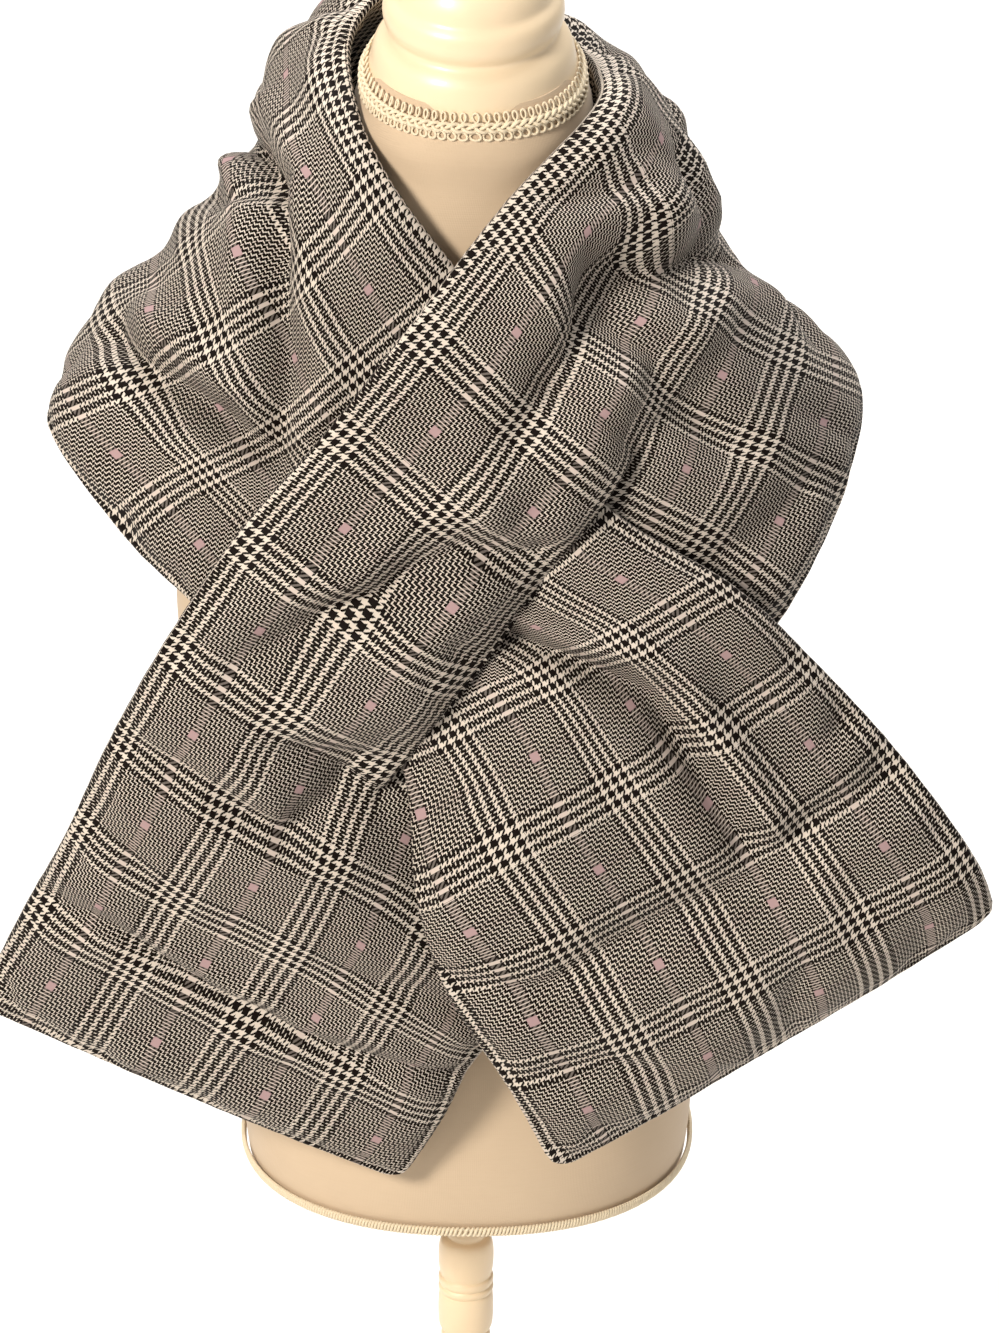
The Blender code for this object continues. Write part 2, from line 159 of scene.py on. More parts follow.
class TurnedPiece(NamedTuple):
    """A turned piece: its name, its CAD node, its profile, and its tilt and the height of its zero."""

    name: str
    node: str
    profile: tuple[Turn, ...]
    tilt: float
    height: float


TURNED_PIECES = (
    TurnedPiece("turned_cap", "neck_cap", CAP_PROFILE, NECK_TILT, NECK_HEIGHT),
    TurnedPiece("turned_post", "post", POST_PROFILE, 0.0, TORSO_BOTTOM - 0.3 * MM),
    TurnedPiece("turned_foot", "base", FOOT_PROFILE, 0.0, 0.0),
)

LINES = (0.0, 0.29, 0.54, 0.80, 1.0)

SECTIONS = (
    Section(-11.75, (265, -130, -400), (45, -150, -542), (3, 3, 3), 7),
    Section(-11.0, (255, -134, -370), (25, -158, -495), (8, 10, 8), 9),
    Section(-10.0, (215, -124, -314), (-9, -160, -433), (6, 12, 11), 9),
    Section(-9.0, (169, -122, -260), (-25, -158, -380), (9, 13, 10), 9),
    Section(-8.0, (130, -126, -218), (-36, -134, -310), (10, 12, 6), 8),
    Section(-7.0, (65, -115, -177), (-88, -112, -298), (3, 0, 0), 6),
    Section(-6.0, (36, -84, -126), (-128, -112, -247), (2, 3, 3), 6),
    Section(-5.0, (-5, -76, -74), (-172, -72, -221), (3, 7, 11), 7),
    Section(-4.0, (-42, -56, -29), (-210, -24, -184), (2, 2, 2), 9),
    Section(-3.5, (-55, -30, -13), (-204, 3, -185), (4, 3, 3), 9),
    Section(-3.0, (-62, 2, 1), (-201, 28, -186), (3, 5, 7), 9),
    Section(-2.3, (-60, 26, 14), (-173, 62, -183), (10, -5, 3), 9),
    Section(-1.5, (-46, 44, 24), (-128, 94, -178), (26, 13, 6), 9),
    Section(0.0, (0, 66, 22), (0, 114, -180), (18, 16, 8), 9),
    Section(1.5, (53, 47, -7), (125, 95, -182), (18, 6, 1), 9),
    Section(2.3, (62, 14, -5), (153, 71, -184), (7, -7, -5), 9),
    Section(3.0, (61, -25, -4), (190, 36, -184), (3, -11, -8), 9),
    Section(4.0, (16, -70, -38), (188, -36, -204), (12, 8, 7), 9),
    Section(5.0, (-28, -107, -84), (160, -90, -246), (6, 9, 4), 8),
    Section(6.0, (-67, -126, -131), (120, -102, -300), (6, -4, -5), 7),
    Section(7.0, (-113, -140, -184), (84, -108, -358), (12, 0, -5), 7),
    Section(8.0, (-150, -146, -243), (50, -120, -417), (12, 0, -4), 8),
    Section(9.0, (-178, -140, -301), (23, -126, -466), (8, 12, 5), 9),
    Section(10.0, (-201, -130, -360), (3, -128, -492), (4, 6, 4), 9),
    Section(11.0, (-224, -112, -414), (-13, -120, -532), (4, 5, 3), 9),
    Section(11.87, (-250, -96, -478), (-33, -114, -570), (2, 3, 2), 7),
)

CREASES = (
    Crease(19, 9, 0.1, ((-1.8, 0.46), (-2.2, 0.41), (-2.6, 0.35), (-2.97, 0.285), (-3.62, 0.24),
        (-3.95, 0.286), (-4.3, 0.343), (-4.62, 0.403), (-4.97, 0.477), (-5.24, 0.573))),
    Crease(7, 11, 0.0, ((-2.87, 0.449), (-3.3, 0.38), (-3.5, 0.3))),
    Crease(18, 12, 0.3, ((-3.7, 0.75), (-4.1, 0.716), (-4.3, 0.695), (-4.57, 0.645), (-4.85, 0.612),
        (-5.05, 0.604), (-5.3, 0.598))),
    Crease(15, 10, -0.5, ((5.73, 0.462), (5.93, 0.419), (6.08, 0.339), (6.32, 0.301), (6.68, 0.271),
        (7.03, 0.217), (7.29, 0.193), (7.7, 0.125))),
    Crease(12, 11, 0.4, ((7.61, 0.434), (7.94, 0.439), (8.23, 0.423), (8.59, 0.38), (8.7, 0.28))),
    Crease(8, 10, 0.0, ((7.7, 0.45), (7.85, 0.366), (8.04, 0.3))),
    Crease(9, 13, 0.0, ((5.22, 0.387), (5.44, 0.39), (5.72, 0.386), (5.9, 0.37))),
    Crease(4, 9, 0.0, ((7.87, 0.0), (7.84, 0.08))),
    Crease(18, 10, 0.7, ((-7.25, 0.459), (-7.7, 0.468), (-8.09, 0.418), (-8.46, 0.34), (-9.0, 0.325),
        (-9.96, 0.347))),
    Crease(11, 11, -0.4, ((-9.95, 0.95), (-10.21, 0.81), (-10.15, 0.66), (-10.17, 0.5), (-10.23, 0.38),
        (-10.06, 0.22), (-10.04, 0.03))),
    Crease(5, 9, 0.0, ((-9.4, 0.0), (-9.51, 0.035), (-9.6, 0.095))),
    Crease(5, 11, 0.0, ((-10.93, 0.378), (-11.3, 0.469))),
    Crease(9, 9, 0.3, ((10.66, 0.0), (10.49, 0.153), (10.54, 0.255), (10.6, 0.36), (10.61, 0.471),
        (10.57, 0.6), (10.48, 0.746), (10.3, 0.865), (10.2, 1.0))),
    Crease(6, 9, 0.2, ((8.9, 0.0), (8.76, 0.091), (8.66, 0.195), (8.67, 0.3))),
    Crease(20, 12, 0.1, ((3.0, 0.56), (3.24, 0.49), (3.43, 0.431), (3.6, 0.403), (3.73, 0.373),
        (3.87, 0.306), (3.97, 0.261), (4.08, 0.24), (4.2, 0.245), (4.41, 0.276), (4.64, 0.291),
        (4.92, 0.296), (5.23, 0.292))),
    Crease(17, 11, 0.0, ((3.95, 0.27), (4.1, 0.29), (4.22, 0.315), (4.31, 0.36), (4.3, 0.42))),
    Crease(11, 19, 0.0, ((1.6, 0.12), (1.9, 0.21), (2.15, 0.3), (2.45, 0.42), (2.75, 0.5), (3.0, 0.5))),
    Crease(14, 15, 0.0, ((2.85, 0.22), (3.08, 0.3), (3.22, 0.38))),
    Crease(6, 16, 0.0, ((-1.7, 0.33), (-2.1, 0.33), (-2.45, 0.31), (-2.75, 0.29))),
    Crease(10, 11, 0.0, ((4.46, 0.44), (4.48, 0.532), (4.47, 0.608), (4.48, 0.7))),
    Crease(4, 8, 0.0, ((3.98, 0.773), (3.88, 0.86), (3.78, 0.97))),
    Crease(7, 13, 0.0, ((5.2, 0.78), (4.94, 0.808), (4.64, 0.847), (4.3, 0.88))),
    Crease(8, 12, 0.0, ((-1.95, 0.0), (-1.8, 0.15), (-1.4, 0.42))),
    Crease(8, 11, 0.3, ((-0.5, 0.0), (-0.55, 0.2), (-0.75, 0.4))),
    Crease(8, 12, -0.3, ((0.6, 0.0), (0.7, 0.18), (1.0, 0.4))),
    Crease(7, 11, 0.0, ((1.7, 0.02), (1.65, 0.2), (1.4, 0.42))),
    Crease(9, 14, 0.4, ((-1.7, 0.68), (-0.8, 0.6), (0.3, 0.63))),
    Crease(8, 14, -0.3, ((0.3, 0.72), (1.1, 0.7), (2.0, 0.76))),
    Crease(7, 12, 0.0, ((2.2, 0.6), (2.7, 0.66), (3.3, 0.8))),
    Crease(7, 12, 0.0, ((-2.0, 0.82), (-2.5, 0.72), (-2.9, 0.62))),
    Crease(4, 10, 0.0, ((-10.8, 0.97), (-10.9, 0.8), (-11.2, 0.7))),
    Crease(5, 11, 0.0, ((9.1, 0.97), (9.2, 0.8), (9.5, 0.62))),
    Crease(4, 10, 0.0, ((9.6, 0.0), (9.65, 0.12), (9.9, 0.25))),
)

SLACKS = (
    Slack(-11.75, (-21, -25, -28, -29, -29), (1, 6, 9, 11, 15)),
    Slack(-11, (-11, -17, -17, -17, -20), (4, 10, 14, 15, 14)),
    Slack(-10, (-3, 1, -3, -5, -11), (6, 14, 18, 17, 10)),
    Slack(-9, (-1, -3, -6, -9, -6), (7, 13, 16, 9, -4)),
    Slack(-8, (-2, -2, -5, -4, -3), (6, -1, 7, -6, -18)),
    Slack(-7, (1, 7, -2, -5, -5), (10, 5, 15, 4, -9)),
    Slack(-6, (4, 6, 3, -5, -6), (2, -1, 4, 11, 6)),
    Slack(-5, (4, 9, 12, 0, -2), (-3, -6, 4, 25, 13)),
    Slack(-4, (6, 27, 28, 13, -1), (-4, 10, 14, 11, 9)),
    Slack(-3, (5, 25, 32, 10, -3), (-8, 16, 16, 1, -1)),
    Slack(-2, (4, 11, 14, 7, -2), (-3, 6, 7, 1, -3)),
    Slack(-1, (1, 2, 2, 2, 0), (0, 1, 1, 0, -1)),
    Slack(0, (0, 0, 0, 0, 0), (0, 0, -1, 0, 0)),
    Slack(1, (-3, -4, -4, -3, -2), (0, 0, 0, 1, 1)),
    Slack(2, (-16, -24, -26, -20, -9), (-3, 1, 6, 8, 7)),
    Slack(3, (-21, -46, -49, -36, -13), (-5, 1, 17, 18, 12)),
    Slack(4, (-5, -48, -51, -30, -9), (-9, 11, 26, 20, 15)),
    Slack(5, (-1, -12, -13, -2, -2), (-3, 1, 8, 14, 20)),
    Slack(6, (-2, 1, 6, 10, 11), (1, 8, 13, 17, 20)),
    Slack(7, (0, 8, 14, 19, 20), (4, 14, 21, 20, 19)),
    Slack(8, (4, 15, 24, 26, 25), (6, 13, 18, 18, 18)),
    Slack(9, (9, 16, 29, 26, 24), (5, 9, 12, 14, 16)),
    Slack(10, (14, 14, 23, 22, 19), (8, 10, 8, 11, 14)),
    Slack(11, (10, 13, 13, 14, 12), (6, 11, 10, 11, 11)),
    Slack(11.87, (11, 5, 1, 3, 5), (12, 11, 11, 10, 9)),
)


class ClothFace(Enum):
    """Which cloth a face of the scarf is cut from, as its material index."""

    SHOW = 0
    REVERSE = 1


# Curves through tables


def hermite(t: np.ndarray, span: np.ndarray, ends: Sequence[Any], slopes: Sequence[Any]) -> np.ndarray:
    """Cubic curve between two values.

    Args:
        t: share of the way between them.
        span: length of the way.
        ends: both values.
        slopes: slope at each.

    Returns:
        The values at t.
    """
    start = (2 * t**3 - 3 * t**2 + 1) * ends[0] + (t**3 - 2 * t**2 + t) * span * slopes[0]
    end = (3 * t**2 - 2 * t**3) * ends[1] + (t**3 - t**2) * span * slopes[1]
    return start + end


def smooth_through(places: np.ndarray, knots: Sequence[float], values: Any) -> np.ndarray:
    """Smooth curve through values at knots.

    Args:
        places: where the curve is read.
        knots: rising places of the values.
        values: a row of values for each knot.

    Returns:
        A row for each place.
    """
    rows = np.asarray(values, float)
    if rows.ndim == 1:
        rows = rows[:, None]
    at = np.asarray(knots, float)
    slopes = np.gradient(rows, at, axis=0)
    places = np.clip(places, at[0], at[-1])
    k = np.clip(np.searchsorted(at, places, side="right") - 1, 0, len(at) - 2)
    span = (at[k + 1] - at[k])[:, None]
    t = (places - at[k])[:, None] / span
    return hermite(t, span, (rows[k], rows[k + 1]), (slopes[k], slopes[k + 1]))


def along_table(stations: np.ndarray, table: Sequence[Any], column: str) -> np.ndarray:
    """Smooth curve through one column of a table whose rows have stations.

    Args:
        stations: where the curve is read.
        table: the table.
        column: name of the column.

    Returns:
        A row for each station.
    """
    return smooth_through(stations, [row.station for row in table], [getattr(row, column) for row in table])


def smooth_across(across: np.ndarray, rows: np.ndarray) -> np.ndarray:
    """Smooth curve through the values on the check lines, with its own row of values for each place.

    Args:
        across: share across the scarf, one for each row.
        rows: values on the lines, a row for each place.

    Returns:
        One value for each place.
    """
    at = np.array(LINES)
    slopes = np.gradient(rows, at, axis=1)
    k = np.clip(np.searchsorted(at, across, side="right") - 1, 0, len(at) - 2)
    here = np.arange(len(across))
    span = at[k + 1] - at[k]
    ends = (rows[here, k], rows[here, k + 1])
    return hermite((across - at[k]) / span, span, ends, (slopes[here, k], slopes[here, k + 1]))


def uneven(places: np.ndarray, spacing: float, seed: int) -> np.ndarray:
    """Smooth uneven wave along a line, between about -1 and 1.

    Args:
        places: where it is read, from 0 up.
        spacing: distance between its free values.
        seed: chooses the wave.

    Returns:
        One value for each place.
    """
    count = int(np.max(places) / spacing) + 4
    values = np.random.default_rng(seed).uniform(-1, 1, count)
    return smooth_through(places / spacing, np.arange(count), values)[:, 0]


def uneven_field(u: np.ndarray, v: np.ndarray, spacing: tuple[float, float], seed: int) -> np.ndarray:
    """Smooth uneven swell over the flat cloth, between about -1 and 1.

    Args:
        u: place along the cloth.
        v: place across it.
        spacing: distance between free values along and across.
        seed: chooses the swell.

    Returns:
        One value for each place.
    """
    a, b = (u - u.min()) / spacing[0], (v - v.min()) / spacing[1]
    shape = (int(a.max()) + 3, int(b.max()) + 3)
    values = np.random.default_rng(seed).uniform(-1, 1, shape)
    i, j = a.astype(int), b.astype(int)
    s, t = (x - x.astype(int) for x in (a, b))
    s, t = s * s * (3 - 2 * s), t * t * (3 - 2 * t)
    low = values[i, j] * (1 - s) + values[i + 1, j] * s
    high = values[i, j + 1] * (1 - s) + values[i + 1, j + 1] * s
    return low * (1 - t) + high * t


def fades(distance: np.ndarray, reach: float) -> np.ndarray:
    """Bell that falls from 1 at no distance to nearly 0 at twice the reach."""
    return np.exp(-((distance / reach) ** 2))


def read(items: Any, key: str, width: int = 1, kind: type = float) -> np.ndarray:
    """Reads one attribute of every item of a mesh.

    Args:
        items: the mesh's vertices, loops or polygons.
        key: name of the attribute.
        width: how many numbers it has.
        kind: type of its numbers.

    Returns:
        The numbers, in rows where there are several for an item.
    """
    values = np.empty(len(items) * width, kind)
    items.foreach_get(key, values)
    return values.reshape(-1, width) if width > 1 else values


def placed(name: str, data: Any) -> bpy.types.Object:
    """Puts data into the scene as an object.

    Args:
        name: the object's name.
        data: its mesh, curve, lamp or camera.

    Returns:
        The object.
    """
    item = bpy.data.objects.new(name, data)
    bpy.context.scene.collection.objects.link(item)
    return item


# Shader maths


Value = Union["Wire", float]


def arithmetic(operation: str, turned: bool = False) -> Callable[..., "Wire"]:
    """Makes a method that adds a Math node.

    Args:
        operation: the node's operation.
        turned: whether the wire is the last value and not the first.

    Returns:
        The method.
    """
    def method(wire: "Wire", *others: Value) -> "Wire":
        """Math node of the operation on the wire and the other values."""
        return wire.tree.maths(operation, *((*others, wire) if turned else (wire, *others)))

    return method


class Wire:
    """A number socket of a material, with arithmetic that adds Math nodes."""

    __add__, __radd__ = arithmetic("ADD"), arithmetic("ADD", True)
    __sub__, __rsub__ = arithmetic("SUBTRACT"), arithmetic("SUBTRACT", True)
    __mul__, __rmul__ = arithmetic("MULTIPLY"), arithmetic("MULTIPLY", True)
    __truediv__, __mod__ = arithmetic("DIVIDE"), arithmetic("FLOORED_MODULO")
    __lt__, __gt__ = arithmetic("LESS_THAN"), arithmetic("GREATER_THAN")
    floor, sine, absolute = arithmetic("FLOOR"), arithmetic("SINE"), arithmetic("ABSOLUTE")

    def __init__(self, tree: "Tree", socket: Any) -> None:
        """Keeps the socket and the tree it belongs to."""
        self.tree = tree
        self.socket = socket


class Tree:
    """Node tree of one material."""

    def __init__(self, name: str) -> None:
        """Starts a material with its Principled shader."""
        self.material = bpy.data.materials.new(name)
        self.material.use_nodes = True
        self.nodes = self.material.node_tree.nodes
        self.links = self.material.node_tree.links
        self.shader = self.nodes["Principled BSDF"]

    def plug(self, socket: Any, value: Any) -> None:
        """Sets or links one input.

        Args:
            socket: the input.
            value: a Wire, a socket or a constant.
        """
        if isinstance(value, Wire):
            self.links.new(value.socket, socket)
        elif isinstance(value, bpy.types.NodeSocket):
            self.links.new(value, socket)
        else:
            socket.default_value = value

    def node(self, kind: str, settings: Optional[dict[str, Any]] = None, **inputs: Any) -> Any:
        """Adds a node.

        Args:
            kind: type without the ShaderNode prefix.
            settings: attributes set first.
            **inputs: socket names, with _ for spaces, and their values or links.

        Returns:
            The node.
        """
        node = self.nodes.new("ShaderNode" + kind)
        for key, value in (settings or {}).items():
            setattr(node, key, value)
        for key, value in inputs.items():
            self.plug(node.inputs[key.replace("_", " ")], value)
        return node

    def maths(self, operation: str, *values: Value) -> Wire:
        """Math node.

        Args:
            operation: its operation.
            *values: numbers or wires.

        Returns:
            Its result.
        """
        node = self.node("Math", {"operation": operation})
        for socket, value in zip(node.inputs, values):
            self.plug(socket, value)
        return Wire(self, node.outputs[0])

    def mix(self, factor: Value, low: Any, high: Any) -> Any:
        """Mixes two colours.

        Args:
            factor: share of the second.
            low: first colour or socket.
            high: second colour or socket.

        Returns:
            The colour socket.
        """
        node = self.node("Mix", {"data_type": "RGBA", "clamp_factor": True})
        self.plug(node.inputs[0], factor)
        for socket, value in ((node.inputs[6], low), (node.inputs[7], high)):
            self.plug(socket, value if isinstance(value, bpy.types.NodeSocket) else (*value, 1))
        return node.outputs[2]

    def place(self) -> Any:
        """Object coordinates."""
        return self.node("TexCoord").outputs["Object"]

    def noise(self, scale: float, detail: float = 2.0, where: Any = None) -> Wire:
        """Noise over the object.

        Args:
            scale: features for each metre.
            detail: layers of finer noise.
            where: coordinates, the object's own if left out.

        Returns:
            Its value, about 0.5.
        """
        node = self.node("TexNoise", Vector=where or self.place(), Scale=scale, Detail=detail)
        return Wire(self, node.outputs[0])

    def bump(self, height: Wire, distance: float, strength: float = 1.0, normal: Any = None) -> Any:
        """Bump node.

        Args:
            height: relief, from 0 to 1.
            distance: its depth in metres.
            strength: share of it that shows.
            normal: normal to build on.

        Returns:
            The normal socket.
        """
        node = self.node("Bump", Height=height, Distance=distance, Strength=strength)
        if normal is not None:
            self.plug(node.inputs["Normal"], normal)
        return node.outputs["Normal"]

    def finish(self, **inputs: Any) -> bpy.types.Material:
        """Fills the shader's inputs.

        Args:
            **inputs: socket names with _ for spaces, and their values or links.

        Returns:
            The material.
        """
        for key, value in inputs.items():
            self.plug(self.shader.inputs[key.replace("_", " ")], value)
        return self.material


# Finishes


@dataclass(frozen=True)
class TwillCheck:
    """Woven check in a three-and-three twill, read from the cloth's own UV map in metres.

    A repeat has a broad part of six dark and six light threads, four times over, and a fine part of
    two and two that is halved by a stripe of pink.
    """

    name: str
    pitch: float = 0.0665 / 136
    repeat: int = 136
    broad: int = 48
    stripe_from: int = 86
    stripe_to: int = 96
    fine: bool = True
    dark_gain: float = 1.2
    dark: tuple[float, float, float] = (0.006, 0.0035, 0.0025)
    light: tuple[float, float, float] = (0.64, 0.565, 0.485)
    pink: tuple[float, float, float] = (0.37, 0.25, 0.25)

    def order(self, thread: Wire) -> tuple[Wire, Optional[Wire]]:
        """Colours of the threads in one direction.

        Args:
            thread: place across the threads, counted in threads.

        Returns:
            Where threads are dark and, in the show cloth, where they are pink.
        """
        wide = ((thread + 0.5 * self.dark_gain) % 12) < 6 + self.dark_gain
        if not self.fine:
            return wide, None
        place = thread % self.repeat
        narrow = ((thread + 0.35 * self.dark_gain) % 4) < 2 + 0.7 * self.dark_gain
        in_broad = place < self.broad
        striped = (place > self.stripe_from) * (place < self.stripe_to)
        return in_broad * wide + (1 - in_broad) * narrow, striped

    def material(self) -> bpy.types.Material:
        """Builds the material.

        Returns:
            The material.
        """
        tree = Tree(self.name)
        place = tree.node("UVMap", {"uv_map": "cloth"}).outputs[0]
        parts = tree.node("SeparateXYZ", Vector=place)
        shares = [Wire(tree, parts.outputs[k]) / self.pitch + 24 + 20 * self.repeat for k in (0, 1)]
        across, along = (share.floor() for share in shares)
        over = ((across + along) % 6) < 2.5
        dark_a, pink_a = self.order(shares[0])
        dark_b, pink_b = self.order(shares[1])
        dark = over * dark_a + (1 - over) * dark_b
        worn = tree.noise(45.0, 3.0)
        light = tree.mix(worn, self.light, tuple(0.86 * c for c in self.light))
        if pink_a is not None and pink_b is not None:
            rungs = dark_a * (0.75 + 0.25 * over) * (1 - pink_a)
            dark = pink_b * rungs + (1 - pink_b) * dark
            light = tree.mix(0.25 * pink_b + 0.15 * pink_a + 0.6 * pink_a * pink_b, light, self.pink)
        colour = tree.mix(dark, light, self.dark)
        crowns = [((share % 1) * math.pi).sine() for share in shares]
        thread = over * crowns[0] + (1 - over) * crowns[1]
        relief = tree.bump(thread, 0.00012, 0.35)
        relief = tree.bump(tree.noise(260.0, 3.0), 0.0006, 0.25, relief)
        return tree.finish(
            Base_Color=colour,
            Roughness=0.55,
            Normal=relief,
            Specular_IOR_Level=0.05,
            Sheen_Weight=0.012,
            Sheen_Roughness=0.5,
            Sheen_Tint=(1.0, 0.93, 0.88, 1.0),
        )


@dataclass(frozen=True)
class Linen:
    """Plain linen stretched over the form, with slubs and a faint mottling."""

    name: str = "linen_cover"
    pitch: float = 0.0011
    light: tuple[float, float, float] = (0.59, 0.46, 0.32)
    shade: tuple[float, float, float] = (0.51, 0.38, 0.255)

    def material(self) -> bpy.types.Material:
        """Builds the material.

        Returns:
            The material.
        """
        tree = Tree(self.name)
        parts = tree.node("SeparateXYZ", Vector=tree.place())
        rounds = Wire(tree, parts.outputs[2]) * (math.pi / self.pitch)
        upright = (Wire(tree, parts.outputs[0]) + Wire(tree, parts.outputs[1])) * (math.pi / self.pitch)
        weave = rounds.sine().absolute() * 0.5 + upright.sine().absolute() * 0.5
        stretched = tree.node("Mapping", Vector=tree.place(), Scale=(60.0, 60.0, 900.0))
        slub = tree.noise(1.0, 3.0, stretched.outputs[0])
        mottle = tree.noise(9.0, 3.0)
        colour = tree.mix(mottle * 0.7 + slub * 0.3, self.light, self.shade)
        relief = tree.bump(weave * 0.6 + slub * 0.4, 0.00018, 0.6)
        return tree.finish(Base_Color=colour, Roughness=0.72 + 0.12 * mottle, Normal=relief,
                           Specular_IOR_Level=0.3, Sheen_Weight=0.15, Sheen_Roughness=0.5)


@dataclass(frozen=True)
class Gimp:
    """Cream twisted cord of the gimp braids."""

    name: str = "gimp_cord"
    light: tuple[float, float, float] = (0.80, 0.70, 0.52)
    shade: tuple[float, float, float] = (0.62, 0.50, 0.34)

    def material(self) -> bpy.types.Material:
        """Builds the material.

        Returns:
            The material.
        """
        tree = Tree(self.name)
        twist = tree.noise(1700.0, 2.0)
        colour = tree.mix(twist, self.light, self.shade)
        relief = tree.bump(twist, 0.0002, 0.7)
        return tree.finish(Base_Color=colour, Roughness=0.6 + 0.15 * twist, Normal=relief,
                           Specular_IOR_Level=0.35, Sheen_Weight=0.2, Sheen_Roughness=0.4)


@dataclass(frozen=True)
class PaintedWood:
    """Warm white satin paint on turned wood."""

    name: str = "white_paint"
    light: tuple[float, float, float] = (0.80, 0.64, 0.44)
    shade: tuple[float, float, float] = (0.74, 0.58, 0.38)

    def material(self) -> bpy.types.Material:
        """Builds the material.

        Returns:
            The material.
        """
        tree = Tree(self.name)
        cloud = tree.noise(14.0, 3.0)
        stretched = tree.node("Mapping", Vector=tree.place(), Scale=(180.0, 180.0, 1200.0))
        strokes = tree.noise(1.0, 2.0, stretched.outputs[0])
        colour = tree.mix(cloud * 0.6 + strokes * 0.2, self.light, self.shade)
        relief = tree.bump(strokes, 0.00006, 0.5)
        return tree.finish(Base_Color=colour, Roughness=0.3 + 0.16 * cloud, Normal=relief,
                           Specular_IOR_Level=0.5, Coat_Weight=0.12)


# Sub-assemblies


def new_piece(name: str, mesh: bpy.types.Mesh, slot: str, *nodes: str) -> bpy.types.Object:
    """Links a finished mesh as a piece that rides on the body.

    Args:
        name: the piece's name.
        mesh: its mesh, in place.
        slot: not used.
        *nodes: CAD nodes that it stands for.

    Returns:
        The object.
    """
    mesh.name = name
    piece = placed(name, mesh)
    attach(piece, BODY)
    if nodes:
        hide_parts(*nodes)
    log.info("%s: %d faces", name, len(mesh.polygons))
    return piece


def mesh_of(bm: bmesh.types.BMesh, name: str) -> bpy.types.Mesh:
    """Turns a bmesh into a smooth mesh and frees it.

    Args:
        bm: the bmesh.
        name: the mesh's name.

    Returns:
        The mesh.
    """
    mesh = bpy.data.meshes.new(name)
    bm.to_mesh(mesh)
    bm.free()
    mesh.shade_smooth()
    return mesh


class Cut(NamedTuple):
    """Where each vertex of the scarf's mesh lies on the flat cloth."""

    row: np.ndarray
    column: np.ndarray
    face: np.ndarray
    side: np.ndarray


class Spots(NamedTuple):
    """Places on the cloth: station, share across, 1 on the show face and -1 on the neck edge's half."""

    station: np.ndarray
    across: np.ndarray
    face: np.ndarray
    side: np.ndarray


